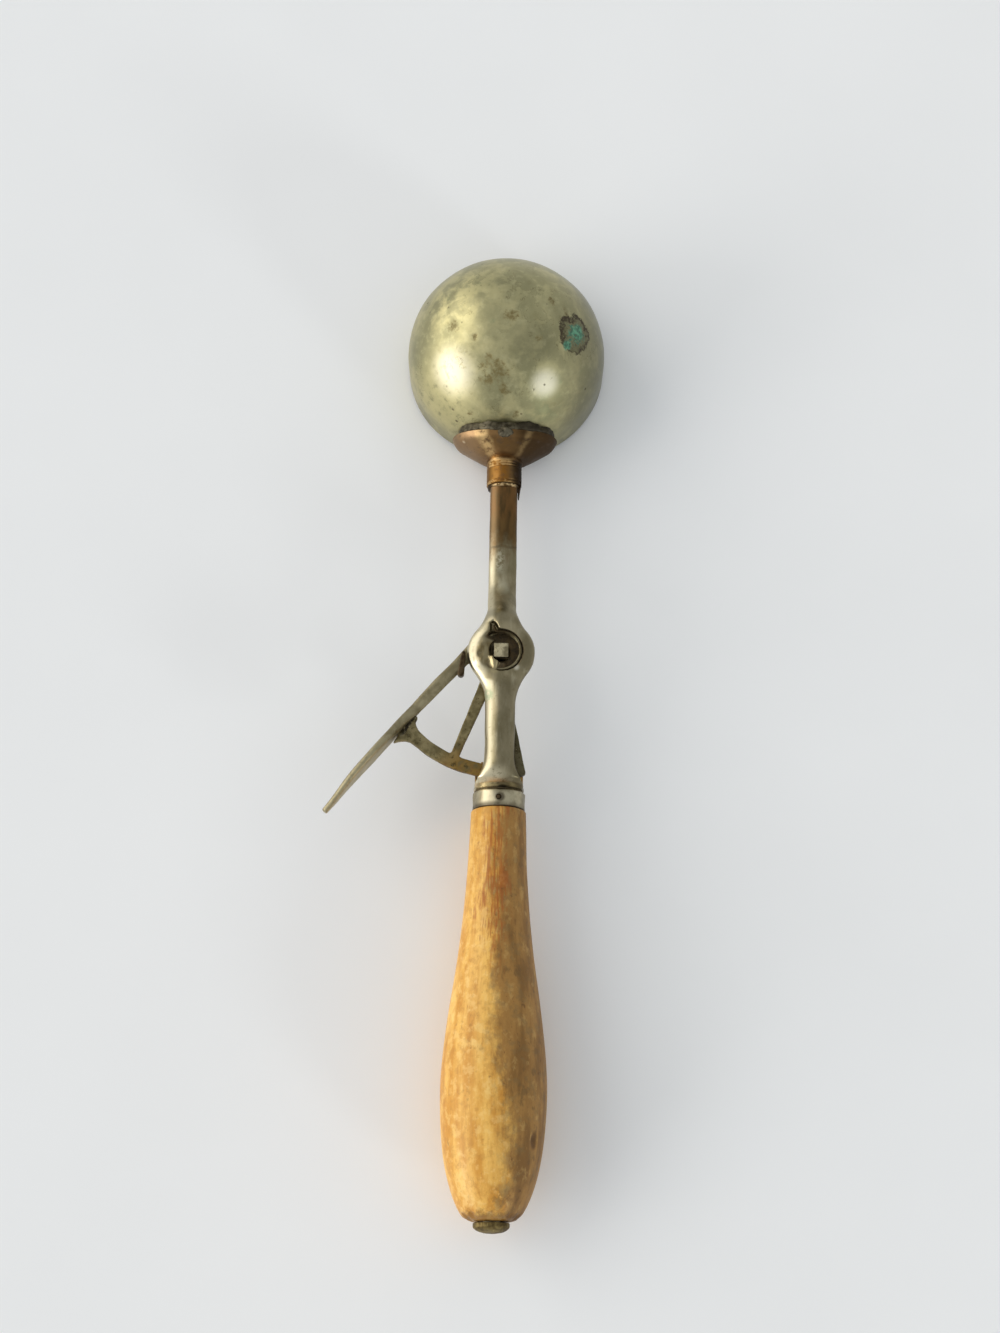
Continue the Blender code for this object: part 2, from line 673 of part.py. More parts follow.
def lever_half_depth(along):
    arm = SECTOR_T / 2 - ARM_INSET
    if along < PAD_START:
        return arm
    share = (along - PAD_START) / (LEVER_LEN + PAD_BLUNT - PAD_START)
    return arm + (PAD_HALF - arm) * math.sin(math.pi * share) ** 1.1


def lever_section(along):
    bow = LEVER_BOW * smooth(along, HUB_R, 2 * HUB_R) * (1 - smooth(along, LEVER_LEN * 0.7, LEVER_LEN))
    thickness = lever_thickness(along) + bow
    depth = lever_half_depth(along)
    middle_z = SECTOR_Z + SECTOR_T / 2
    droop = LEVER_DROOP * smooth(along, LEVER_LEN * 0.8, LEVER_LEN)
    middle_off = LEVER_OFFSET + bow - droop - thickness / 2
    lean = math.tan(PAD_LEAN) * smooth(along, PAD_START, PAD_START + PAD_LEAN_LEN)
    ring = []
    count = 16
    for i in range(count):
        angle = math.tau * (i + 0.5) / count
        across, up = math.cos(angle), math.sin(angle)
        rise = depth * math.copysign(abs(up) ** 0.5, up)
        off = middle_off + thickness / 2 * math.copysign(abs(across) ** 0.5, across) - rise * lean
        ring.append(lever_frame(along, off, middle_z + rise))
    return ring


def build_lever(lever):
    stations = [PAD_START * share for share in (0, 0.33, 0.66, 0.88)]
    steps = 20
    for i in range(steps + 1):
        stations.append(PAD_START + (LEVER_LEN - PAD_START) * i / steps)
    arm = skinned("thumb_lever", [lever_section(along) for along in stations], lever)
    hub = upright(tube("lever_hub", STUD_R * 0.5, HUB_R, SECTOR_Z, HUB_Z, lever, FINE_STEPS))
    bore = upright(rod("lever_bore", STUD_R + GAP, SECTOR_Z - CUT, HUB_Z + CUT, lever))
    combine(arm, hub, "UNION")
    combine(arm, bore, "DIFFERENCE")
    arm.data.materials.append(material("lever_nickel", (0.4, 0.37, 0.26), 0.42, 1.0))


def build_lug(lever):
    """A dark rounded stop that stands on the arm beside the eye and meets the bar at full press."""
    x = -(EYE_R + RUN + LUG_HALF)
    outline = arc((x, LUG_TOP - LUG_HALF), LUG_HALF, 0, 180, 8)
    outline += arc((x, LUG_TIP + LUG_HALF), LUG_HALF, 180, 360, 8)
    lug = plate("stop_lug", outline, HUB_Z + GAP, HUB_Z + GAP + LUG_T, lever)
    lug.data.materials.append(material("lug_steel", (0.12, 0.09, 0.06), 0.5, 0.9))


def arm_line(along_radius):
    """Angle at which a circle about the pivot meets the gap line along the arm's lower edge."""
    off = LEVER_OFFSET - lever_thickness(BRAZE_AT) - GAP
    return LEVER_ANGLE + math.asin(off / along_radius)


def sector_outline():
    """Arc, flared end against the lever's arm, and two spokes that run up to the hub."""
    hub_r = HUB_R + GAP
    rim_r = SECTOR_IN
    shares = (0, 0.3, 0.55, 0.8, 1)
    corners = []

    def along_arc(radius, start, end, count):
        for k in range(count + 1):
            corners.append((*polar(radius, start + (end - start) * k / count), 0))

    def corner(radius, angle, rounding=0):
        corners.append((*polar(radius, angle), rounding))

    def flare(edge, reach, order):
        for share in order:
            radius = edge + reach * share ** 2.5
            corner(radius, arm_line(radius) - FLARE_TURN * (1 - share))

    corner(SECTOR_OUT, RIGHT_EDGE, SPOKE_FILLET / 1.5)
    flare_start = arm_line(SECTOR_OUT) - FLARE_TURN
    along_arc(SECTOR_OUT, RIGHT_EDGE + math.radians(3), flare_start - math.radians(3), 13)
    flare(SECTOR_OUT, OUTER_FLARE, shares)
    flare(rim_r, -INNER_FLARE, reversed(shares))
    mid_hub = MID_SPOKE_W_HUB / 2 / hub_r
    mid_rim = MID_SPOKE_W_RIM / 2 / rim_r
    flare_start = arm_line(rim_r) - FLARE_TURN
    along_arc(rim_r, flare_start - math.radians(3), MID_SPOKE_RIM + mid_rim + math.radians(2.5), 4)
    corner(rim_r, MID_SPOKE_RIM + mid_rim, SPOKE_FILLET)
    corner(hub_r, MID_SPOKE_HUB + mid_hub)
    corner(hub_r, MID_SPOKE_HUB - mid_hub)
    corner(rim_r, MID_SPOKE_RIM - mid_rim, SPOKE_FILLET)
    right_hub = RIGHT_EDGE + RIGHT_SPOKE_W / hub_r
    right_rim = RIGHT_EDGE + RIGHT_SPOKE_W / rim_r
    along_arc(rim_r, MID_SPOKE_RIM - mid_rim - math.radians(2.5), right_rim + math.radians(2.5), 5)
    corner(rim_r, right_rim, SPOKE_FILLET)
    corner(hub_r, right_hub)
    corner(hub_r, RIGHT_EDGE)
    return round_corners(corners, 3)


def build_sector_tooth(lever, angle, index):
    """One tooth on the sector's back: a tapered block that lies along a radius."""
    pitch = math.tau / SECTOR_TEETH_ROUND
    slope = math.tan(RACK_SLOPE)
    base_z = SECTOR_Z + TOOTH_SUNK
    tip_z = PINION_R - RACK_DIP
    rings = []
    for z in (tip_z, base_z):
        ring = []
        inner, outer = SECTOR_IN + TOOTH_SUNK, SECTOR_OUT - TOOTH_INSET
        for radius, side in ((inner, -1), (outer, -1), (outer, 1), (inner, 1)):
            half = pitch * radius / 4 - BACKLASH / 2 + (z - PINION_R) * slope
            ring.append(Vector((side * half, -radius, z)))
        rings.append(ring)
    tooth = skinned(f"sector_tooth_{index}", rings, lever)
    tooth.rotation_euler = (0, 0, -angle)
    return tooth


def build_sector(lever):
    sector = plate("gear_sector", sector_outline(), SECTOR_Z, HUB_Z, lever)
    for index in range(FIRST_TOOTH, LAST_TOOTH + 1):
        angle = index * math.tau / SECTOR_TEETH_ROUND
        combine(sector, build_sector_tooth(lever, angle, index), "UNION")
    sector.data.materials.append(material("sector_brass", (0.42, 0.33, 0.14), 0.42, 1.0))


def build_stud(lever):
    """Square end in the cup, round neck through the frame and the hub, flat head behind."""
    washer_z = SECTOR_Z - GAP
    head_z = washer_z - WASHER_T - GAP
    neck_top = CUP_Z + GAP
    outline = [(0, head_z - STUD_HEAD_T), (STUD_HEAD_R - EDGE, head_z - STUD_HEAD_T)]
    outline += [(STUD_HEAD_R, head_z - STUD_HEAD_T + EDGE), (STUD_HEAD_R, head_z)]
    outline += [(STUD_R, head_z), (STUD_R, neck_top), (0, neck_top)]
    stud = upright(turned("pivot_stud", outline, lever, SMALL_STEPS))
    half = STUD_SQUARE / 2
    square = plate("stud_square", [(-half, -half), (half, -half), (half, half), (-half, half)],
                   neck_top - SUNK / 2, FRAME_FRONT - STUD_SUNK, lever)
    combine(stud, square, "UNION")
    stud.data.materials.append(material("stud_steel", (0.5, 0.46, 0.35), 0.4, 1.0))
    washer = upright(tube("hub_washer", STUD_R + GAP, WASHER_R, washer_z - WASHER_T, washer_z, lever))
    washer.data.materials.append(material("washer_brass", (0.5, 0.39, 0.2), 0.4, 1.0))


# Wiper body: shaft, collar, pinion and the wiper that sweeps the bowl

def build_shaft(scraper):
    near_tab = BOWL_Y - WIPER_OUT_R
    shoulder_low = FOOT_TOP + GAP
    shoulder_high = near_tab - GAP
    end = BOWL_Y - WIPER_IN_R + GAP + WIPER_NUT_T + EDGE
    outline = [(0, FOOT_TOP - TENON_DEPTH), (TENON_R, FOOT_TOP - TENON_DEPTH), (TENON_R, shoulder_low)]
    outline += [(SHAFT_R, shoulder_low), (SHAFT_R, shoulder_high), (TENON_R, shoulder_high)]
    outline += [(TENON_R, end), (0, end)]
    shaft = turned("shaft", outline, scraper, SMALL_STEPS)
    for i, y in enumerate((pinion_pin_y(), collar_pin_y())):
        hole = upright(rod(f"shaft_pin_hole_{i}", PIN_R + GAP, -2 * SHAFT_R, 2 * SHAFT_R, scraper, 12))
        hole.location = (0, y, 0)
        combine(shaft, hole, "DIFFERENCE")
    shaft.data.materials.append(material("shaft_steel", (0.42, 0.4, 0.36), 0.4, 1.0))


def pinion_pin_y():
    return PINION_TOP + PINION_HUB_LEN / 2


def collar_pin_y():
    return BARREL_END - GAP - COLLAR_T / 2


def pinion_outline():
    """Twelve teeth, with a space between two of them facing the sector at rest."""
    pitch = math.tau / PINION_TEETH
    half_mid = pitch / 4 - BACKLASH / 2 / PINION_R
    half_tip = half_mid * 0.42
    half_root = half_mid * 1.75
    outline = []
    for tooth in range(PINION_TEETH):
        middle = math.pi / 2 + (tooth + 0.5) * pitch
        flank = ((PINION_ROOT_R, -half_root), (PINION_R, -half_mid), (PINION_TIP_R, -half_tip),
                 (PINION_TIP_R, half_tip), (PINION_R, half_mid), (PINION_ROOT_R, half_root))
        for radius, turn in flank:
            outline.append((radius * math.cos(middle + turn), radius * math.sin(middle + turn)))
    return outline


def build_pinion(scraper):
    wheel = plate("pinion", pinion_outline(), 0, PINION_LEN, scraper)
    wheel.data.transform(Matrix.Rotation(-math.pi / 2, 4, "X"))
    wheel.data.transform(Matrix.Scale(-1, 4, (0, 0, 1)))
    wheel.data.flip_normals()
    wheel.location = (0, PINION_BOTTOM, 0)
    end = PINION_TOP + PINION_HUB_LEN
    hub = rod("pinion_hub", PINION_HUB_R, PINION_TOP - SUNK, end, scraper, MEDIUM_STEPS)
    bore = rod("pinion_bore", SHAFT_R + GAP, PINION_BOTTOM - CUT, end + CUT, scraper)
    hole = upright(rod("pinion_pin_hole", PIN_R + GAP, -2 * PINION_HUB_R, 2 * PINION_HUB_R, scraper, 12))
    hole.location = (0, pinion_pin_y(), 0)
    combine(wheel, hub, "UNION")
    combine(wheel, bore, "DIFFERENCE")
    combine(wheel, hole, "DIFFERENCE")
    wheel.data.materials.append(material("pinion_brass", (0.4, 0.32, 0.17), 0.42, 1.0))
    pin = upright(rod("pinion_pin", PIN_R, -PINION_HUB_R - GAP, PINION_HUB_R + GAP, scraper, 12))
    pin.location = (0, pinion_pin_y(), 0)
    pin.data.materials.append(material("pinion_pin_steel", (0.3, 0.28, 0.24), 0.4, 1.0))


def build_collar(scraper):
    top = BARREL_END - GAP
    collar = tube("thrust_collar", SHAFT_R + GAP, COLLAR_R, top - COLLAR_T, top, scraper)
    hole = upright(rod("collar_pin_hole", COLLAR_PIN_R + GAP, -2 * COLLAR_R, 2 * COLLAR_R, scraper, 12))
    hole.location = (0, collar_pin_y(), 0)
    combine(collar, hole, "DIFFERENCE")
    collar.data.materials.append(material("collar_brass", (0.45, 0.36, 0.18), 0.4, 1.0))
    pin = upright(rod("collar_pin", COLLAR_PIN_R, -COLLAR_R, COLLAR_R, scraper, 12))
    pin.location = (0, collar_pin_y(), 0)
    pin.data.materials.append(material("collar_pin_steel", (0.3, 0.28, 0.24), 0.4, 1.0))


def build_wiper(scraper):
    """A band bent to the bowl's inside, widest in the middle, with a tab at each end of the axis."""
    balls = []
    for name, radius in (("wiper", WIPER_OUT_R), ("wiper_hollow", WIPER_IN_R)):
        outline = arc((0, 0), radius, -90, 90, 24)
        outline[0] = (0, -radius)
        outline[-1] = (0, radius)
        balls.append(turned(name, outline, scraper, FINE_STEPS))
    shell, hollow = balls
    steps = 12
    upper = []
    for i in range(steps + 1):
        share = -1 + 2 * i / steps
        half = WIPER_HALF_END + (WIPER_HALF - WIPER_HALF_END) * math.cos(share * math.pi / 2) ** 0.8
        upper.append((share * (BOWL_R + CUT), half))
    outline = upper + [(y, -half) for y, half in reversed(upper)]
    leaf = plate("wiper_leaf", outline, -WIPER_HALF_END, BOWL_R + CUT, scraper)
    leaf.data.transform(Matrix(((0, 0, -1, 0), (1, 0, 0, 0), (0, -1, 0, 0), (0, 0, 0, 1))))
    near = rod("wiper_hole_near", TENON_R + GAP, -BOWL_R, -BOWL_R / 2, scraper)
    far = rod("wiper_hole_far", RIVET_R + GAP, BOWL_R / 2, BOWL_R, scraper)
    shell.rotation_euler = (0, WIPER_REST, 0)
    leaf.rotation_euler = (0, WIPER_REST, 0)
    for obj in (shell, hollow, leaf, near, far):
        obj.location = (0, BOWL_Y, 0)
    combine(shell, leaf, "INTERSECT")
    combine(shell, hollow, "DIFFERENCE")
    combine(shell, near, "DIFFERENCE")
    combine(shell, far, "DIFFERENCE")
    shell.data.materials.append(material("wiper_steel", (0.55, 0.52, 0.45), 0.35, 1.0))
    inner = BOWL_Y - WIPER_IN_R + GAP
    nut = tube("wiper_nut", TENON_R + GAP, WIPER_NUT_R, inner, inner + WIPER_NUT_T, scraper, SMALL_STEPS)
    nut.data.materials.append(material("nut_brass", (0.5, 0.4, 0.22), 0.4, 1.0))


# Handle: ferrule with its nail, turned wooden grip, rod and end cap

def build_ferrule(tool):
    inner = FERRULE_R - FERRULE_WALL
    top_hole = FOOT_BOSS_R + GAP
    outline = [(top_hole, FERRULE_TOP), (FERRULE_R - EDGE, FERRULE_TOP), (FERRULE_R, FERRULE_TOP - EDGE)]
    outline += [(FERRULE_R, FERRULE_END), (inner, FERRULE_END), (inner, FERRULE_TOP - FERRULE_WALL)]
    outline += [(top_hole, FERRULE_TOP - FERRULE_WALL)]
    ferrule = turned("ferrule", outline, tool)
    hole = nail_hole("ferrule_nail_hole", tool)
    combine(ferrule, hole, "DIFFERENCE")
    ferrule.data.materials.append(material("ferrule_nickel", (0.5, 0.47, 0.4), 0.4, 1.0))
    nail = upright(rod("ferrule_nail", PIN_R, nail_depth() + GAP, FERRULE_R + NAIL_PROUD, tool, 12))
    nail.location = (0, nail_y(), 0)
    nail.data.materials.append(material("nail_steel", (0.12, 0.1, 0.08), 0.5, 0.9))


def nail_y():
    return (FERRULE_TOP + FERRULE_END) / 2


def nail_depth():
    return FOOT_BOSS_R + 2 * GAP


def nail_hole(name, parent):
    hole = upright(rod(name, PIN_R + GAP, nail_depth(), FERRULE_R + CUT, parent, 12))
    hole.location = (0, nail_y(), 0)
    return hole


def grip_radius(down):
    """Radius at a distance below the shoulder: slim neck, swelling belly, blunt round end."""
    if down <= GRIP_BELLY_AT:
        share = down / GRIP_BELLY_AT
        rise = 0.25 * share + 0.75 * (1 - math.cos(math.pi * share ** 1.35)) / 2
        return GRIP_NECK_R + (GRIP_BELLY_R - GRIP_NECK_R) * rise
    left = 1 - (GRIP_TIP_R / GRIP_BELLY_R) ** GRIP_END_BLUNT
    past = (down - GRIP_BELLY_AT) / (GRIP_LEN - GRIP_BELLY_AT)
    return GRIP_BELLY_R * (1 - left * past ** GRIP_END_BLUNT) ** (1 / GRIP_END_BLUNT)


def build_grip(tool):
    seat_r = FERRULE_R - FERRULE_WALL - GAP
    seat_top = FERRULE_TOP - FERRULE_WALL - GAP
    bore = ROD_R + GAP
    counterbore = FOOT_BOSS_R + GAP
    outline = [(counterbore, seat_top), (seat_r, seat_top), (seat_r, GRIP_TOP)]
    steps = 20
    for i in range(steps + 1):
        share = i / steps
        down = GRIP_LEN * (1 - (1 - share) ** 1.35)
        outline.append((grip_radius(down), GRIP_TOP - down))
    outline += [(bore, GRIP_END), (bore, BOSS_END - GAP), (counterbore, BOSS_END - GAP)]
    grip = turned("grip", outline, tool, FINE_STEPS)
    combine(grip, nail_hole("grip_nail_hole", tool), "DIFFERENCE")
    grip.data.materials.append(material("grip_maple", (0.55, 0.33, 0.12), 0.4, 0.0))


def build_rod_and_cap(tool):
    bore_end = CAP_TOP - CAP_LEN * 0.6
    core = rod("tang_rod", ROD_R, BOSS_END + FOOT_BOSS_LEN - 2 * GAP, bore_end + GAP, tool)
    core.data.materials.append(material("rod_steel", (0.35, 0.33, 0.3), 0.45, 1.0))
    outline = [(ROD_R + GAP, CAP_TOP), (CAP_R, CAP_TOP), (CAP_R, CAP_TOP - CAP_EDGE)]
    dome = CAP_LEN - CAP_EDGE
    steps = 6
    for i in range(1, steps + 1):
        turn = math.pi / 2 * i / steps
        outline.append((CAP_R * math.cos(turn), CAP_TOP - CAP_EDGE - dome * math.sin(turn)))
    outline[-1] = (0, CAP_TOP - CAP_LEN)
    outline += [(0, bore_end), (ROD_R + GAP, bore_end)]
    cap = turned("end_cap", outline, tool)
    cap.data.materials.append(material("cap_brass", (0.3, 0.28, 0.16), 0.5, 1.0))


def lay_down(tool):
    """Tip the tool until the far rim and the belly touch the floor, then centre it on the origin."""
    far_rim = Vector((BOWL_Y + BOWL_R, -RIM_DROP))
    belly = Vector((GRIP_TOP - GRIP_BELLY_AT, -GRIP_BELLY_R))
    across = far_rim - belly
    tool.rotation_euler = (-math.atan2(across.y, across.x), 0, 0)
    bpy.context.view_layer.update()
    graph = bpy.context.evaluated_depsgraph_get()
    corners = []
    for obj in bpy.context.scene.objects:
        if obj.type == "EMPTY" or obj.hide_render:
            continue
        solid = obj.evaluated_get(graph)
        mesh = solid.to_mesh()
        corners += [solid.matrix_world @ vert.co for vert in mesh.vertices]
        solid.to_mesh_clear()
    low = [min(corner[axis] for corner in corners) for axis in range(3)]
    high = [max(corner[axis] for corner in corners) for axis in range(3)]
    tool.location = (-(low[0] + high[0]) / 2, -(low[1] + high[1]) / 2, -low[2])


for old in list(bpy.data.objects):
    bpy.data.objects.remove(old, do_unlink=True)

tool_axis = empty("tool_axis")
lever_axis = empty("lever_axis", tool_axis)
scraper_axis = empty("scraper_axis", tool_axis)

build_bowl(tool_axis)
build_rivet(tool_axis)
build_socket(tool_axis)
build_rim_solder(tool_axis)
build_neck_solder(tool_axis)
build_frame(tool_axis)
build_spring(tool_axis)
build_ferrule(tool_axis)
build_grip(tool_axis)
build_rod_and_cap(tool_axis)
build_lever(lever_axis)
build_lug(lever_axis)
build_sector(lever_axis)
build_stud(lever_axis)
build_shaft(scraper_axis)
build_collar(scraper_axis)
build_pinion(scraper_axis)
build_wiper(scraper_axis)
lay_down(tool_axis)
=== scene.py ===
# Vintage ice cream scoop with a thumb lever, a gear train and a wiper in the bowl.
#
# The tool has its own frame, in millimetres: the shaft runs along Y with the bowl at +Y, the
# bowl's dome and the lever's front look towards +Z, and the lever turns about Z at the origin.

import json
from math import asin, atan2, copysign, cos, degrees, hypot, pi, radians, sin, sqrt, tan, tau

import bmesh
import bpy
from mathutils import Matrix, Vector, noise


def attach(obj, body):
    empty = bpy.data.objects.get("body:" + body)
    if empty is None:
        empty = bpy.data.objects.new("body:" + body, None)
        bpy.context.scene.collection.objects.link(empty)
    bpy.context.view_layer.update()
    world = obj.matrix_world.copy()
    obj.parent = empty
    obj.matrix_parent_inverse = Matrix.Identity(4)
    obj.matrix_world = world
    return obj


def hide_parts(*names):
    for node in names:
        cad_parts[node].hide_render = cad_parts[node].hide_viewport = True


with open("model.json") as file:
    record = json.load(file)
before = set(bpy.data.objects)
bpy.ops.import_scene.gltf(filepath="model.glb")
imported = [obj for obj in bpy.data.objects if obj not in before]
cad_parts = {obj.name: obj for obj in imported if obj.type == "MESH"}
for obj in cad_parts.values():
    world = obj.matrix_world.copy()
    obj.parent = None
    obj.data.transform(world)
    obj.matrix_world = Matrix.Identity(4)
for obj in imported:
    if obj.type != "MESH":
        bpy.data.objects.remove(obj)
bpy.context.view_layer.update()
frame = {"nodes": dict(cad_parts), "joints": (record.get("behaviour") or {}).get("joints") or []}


# Bowl
# Sheet brass spun to a dome with a short straight skirt and a rolled lip, then nickel plated.
# The plating has gone blotchy and pitted, with one patch of green corrosion on the right.
# It sits in the socket's flare, held by a ring of solder.

MM = 0.001

joints = {joint["name"]: joint for joint in frame["joints"]}
towards_front = Vector(joints["lever_press"]["axis"]).normalized()
towards_bowl = Vector(joints["wiper_sweep"]["axis"]).normalized()
towards_right = towards_bowl.cross(towards_front)
TOOL = Matrix((towards_right, towards_bowl, towards_front)).transposed().to_4x4()
TOOL.translation = Vector(joints["lever_press"]["pos_m"])
INTO_PLACE = TOOL @ Matrix.Scale(MM, 4)
OUT_OF_PLACE = INTO_PLACE.inverted()


def span(node):
    """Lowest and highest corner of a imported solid, in the tool's frame."""
    corners = [OUT_OF_PLACE @ vert.co for vert in frame["nodes"][node].data.vertices]
    low = Vector([min(corner[axis] for corner in corners) for axis in range(3)])
    high = Vector([max(corner[axis] for corner in corners) for axis in range(3)])
    return low, high


def arc(centre, radius, start, end, count):
    """Points on an arc, in degrees from the first axis, with both ends."""
    points = []
    for i in range(count + 1):
        angle = radians(start + (end - start) * i / count)
        points.append((centre[0] + radius * cos(angle), centre[1] + radius * sin(angle)))
    return points


def faced_out(bm):
    bmesh.ops.recalc_face_normals(bm, faces=bm.faces[:])
    return bm


def turned(outline, steps, axis=(0, 1, 0)):
    """Turn a closed outline of (radius, place on the axis) into a solid about that axis."""
    bm = bmesh.new()
    along = Vector(axis)
    verts = [bm.verts.new(Vector((radius, 0, 0)) + along * place) for radius, place in outline]
    edges = []
    for i, vert in enumerate(verts):
        after = verts[(i + 1) % len(verts)]
        if vert.co.x > 0 or after.co.x > 0:
            edges.append(bm.edges.new((vert, after)))
    bmesh.ops.spin(bm, geom=verts + edges, cent=(0, 0, 0), axis=axis, angle=tau,
                   steps=steps, use_merge=True)
    bmesh.ops.remove_doubles(bm, verts=bm.verts[:], dist=0.001)
    return faced_out(bm)


def peg(radius, start, end, axis=(0, 1, 0), steps=48, bore=0):
    """A plain round bar or ring, to join on or to cut with."""
    return turned([(bore, start), (radius, start), (radius, end), (bore, end)], steps, axis)


def moved(bm, where):
    bmesh.ops.translate(bm, verts=bm.verts[:], vec=where)
    return bm


def uneven(bm, depth, size, seed):
    """Move every point along its normal with a slow noise, as hammering and use do."""
    bm.normal_update()
    shift = Vector((seed, seed * 2, seed * 3))
    moves = [vert.normal * depth * noise.noise(vert.co / size + shift) for vert in bm.verts]
    for vert, move in zip(bm.verts, moves):
        vert.co += move
    return bm


def meshed(bm, name):
    """A shape as a mesh, with its bmesh freed."""
    mesh = bpy.data.meshes.new(name)
    bm.to_mesh(mesh)
    bm.free()
    return mesh


def placed(name, data):
    """An object in the scene, at the origin."""
    obj = bpy.data.objects.new(name, data)
    bpy.context.scene.collection.objects.link(obj)
    return obj


def workpiece(bm):
    """Put a shape on the bench as an object, for a modifier to work on."""
    return placed("work", meshed(bm, "work"))


def taken_off(work, others=()):
    """The worked shape as a bmesh again, with the bench cleared."""
    graph = bpy.context.evaluated_depsgraph_get()
    shape = bpy.data.meshes.new_from_object(work.evaluated_get(graph))
    bm = bmesh.new()
    bm.from_mesh(shape)
    bpy.data.meshes.remove(shape)
    for obj in (work, *others):
        bpy.data.objects.remove(obj)
    return bm


def combined(bm, others, operation):
    """Join a shape to others, or cut them out of it."""
    work = workpiece(bm)
    tools = []
    for other in others:
        tool = workpiece(other)
        step = work.modifiers.new("step", "BOOLEAN")
        step.operation = operation
        step.object = tool
        step.solver = "EXACT"
        tools.append(tool)
    return taken_off(work, tools)


def add_piece(name, bm, body, nodes, finish, sharp=35):
    """Put a finished shape in its place: its surface, its body and the solids it stands for."""
    mesh = meshed(bm, name)
    mesh.transform(INTO_PLACE)
    mesh.shade_smooth()
    if sharp:
        mesh.set_sharp_from_angle(angle=radians(sharp))
    mesh.materials.append(finish)
    piece = placed(name, mesh)
    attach(piece, body)
    if nodes:
        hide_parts(*nodes)


def tint(red, green, blue):
    """A colour from its screen values, 0 to 255."""
    linear = [((value / 255 + 0.055) / 1.055) ** 2.4 for value in (red, green, blue)]
    return (*linear, 1)


class Wire:
    """A socket of a material. Sums on it add Math nodes, and node() adds any other node."""

    def __init__(self, tree, socket=None):
        self.tree = tree
        self.socket = socket

    def node(self, kind, settings, sockets, output=0):
        """Add a node: its settings first, then each socket's value or wire."""
        made = self.tree.nodes.new("ShaderNode" + kind)
        for name, value in settings.items():
            setattr(made, name, value)
        for name, value in sockets.items():
            self.feed(made.inputs[name], value)
        return Wire(self.tree, made.outputs[output])

    def feed(self, socket, value):
        """Join a wire to a socket, or set the socket's own value."""
        if isinstance(value, Wire):
            self.tree.links.new(value.socket, socket)
        else:
            socket.default_value = value

    def sum(self, operation, one, two):
        return self.node("Math", {"operation": operation}, {0: one, 1: two})

    def __add__(self, other):
        return self.sum("ADD", self, other)

    __radd__ = __add__

    def __sub__(self, other):
        return self.sum("SUBTRACT", self, other)

    def __rsub__(self, other):
        return self.sum("SUBTRACT", other, self)

    def __mul__(self, other):
        return self.sum("MULTIPLY", self, other)

    __rmul__ = __mul__

    def top(self, other):
        """The larger of two values."""
        return self.sum("MAXIMUM", self, other)

    def band(self, low, high):
        """0 below low and 1 above high, or the other way round, with level ends."""
        return self.node("MapRange", {"interpolation_type": "SMOOTHSTEP"}, {0: self, 1: low, 2: high})

    def strip(self, start, rise, fall, end):
        """1 from rise to fall, and 0 before start and after end."""
        return self.band(start, rise) * self.band(end, fall)

    def mix(self, off, on):
        """One colour where this value is 0 and the other where it is 1, as wires or screen values."""
        sides = [side if isinstance(side, Wire) else tint(*side) for side in (off, on)]
        return self.node("Mix", {"data_type": "RGBA"}, {0: self, 6: sides[0], 7: sides[1]}, 2)

    def under(self, *coats):
        """This colour with others laid over it, each given by its share and its colour."""
        colour = self
        for share, coat in coats:
            colour = share.mix(colour, coat)
        return colour

    def stretched(self, along=1, forward=1):
        """Pull a place's pattern out along the tool, or forward, where the factor is small."""
        return self.node("VectorMath", {"operation": "MULTIPLY"}, {0: self, 1: (1, along, forward)})

    def __getitem__(self, axis):
        """One part of a place: 0 across, 1 along the tool, 2 towards its front."""
        return self.node("SeparateXYZ", {}, {0: self}, axis)

    def away(self, spot):
        """Distance from a spot, in millimetres."""
        return self.node("VectorMath", {"operation": "DISTANCE"}, {0: self, 1: spot}, 1)

    def cloud(self, size, seed, detail=4, rough=0.55, warp=0):
        """Noise whose patches are about so many millimetres across."""
        return self.node("TexNoise", {"noise_dimensions": "4D"}, {
            "Vector": self, "W": seed, "Scale": 1 / size, "Detail": detail,
            "Roughness": rough, "Distortion": warp})

    def specks(self, size, seed):
        """Distance to the nearest of some scattered dots, as a share of their spacing."""
        return self.node("TexVoronoi", {"voronoi_dimensions": "4D"}, {
            "Vector": self, "W": seed, "Scale": 1 / size, "Randomness": 1})


def new_finish(name):
    """A material with its shader, and a place in the tool's frame to lay patterns by."""
    finish = bpy.data.materials.new(name)
    finish.use_nodes = True
    place = Wire(finish.node_tree).node("TexCoord", {}, {}, "Object")
    place = place.node("Mapping", {}, {
        "Vector": place,
        "Location": OUT_OF_PLACE.translation,
        "Rotation": TOOL.inverted().to_euler(),
        "Scale": (1 / MM, 1 / MM, 1 / MM)})
    return finish, place


def lay_on(finish, colour, roughness, metallic, height=None, depth=0, glance=0.5):
    """Join the worked-out surface to the shader. Height 1 stands depth millimetres over height 0."""
    surface = Wire(finish.node_tree)
    sockets = surface.tree.nodes["Principled BSDF"].inputs
    for name, value in (("Base Color", colour), ("Roughness", roughness), ("Metallic", metallic),
                        ("Specular IOR Level", glance)):
        surface.feed(sockets[name], value)
    if height is not None:
        bump = height.node("Bump", {}, {"Strength": 1, "Distance": depth * MM, "Height": height})
        surface.feed(sockets["Normal"], bump)


bowl_low, bowl_high = span("bowl")
BOWL_R = bowl_high.x
BOWL_Y = (bowl_low.y + bowl_high.y) / 2
RIM = -bowl_low.z
BOWL_WALL = 0.9
LIP_R = BOWL_WALL / 2
SHAFT_WAY_R = 2.6
RIVET_WAY_R = 1.5

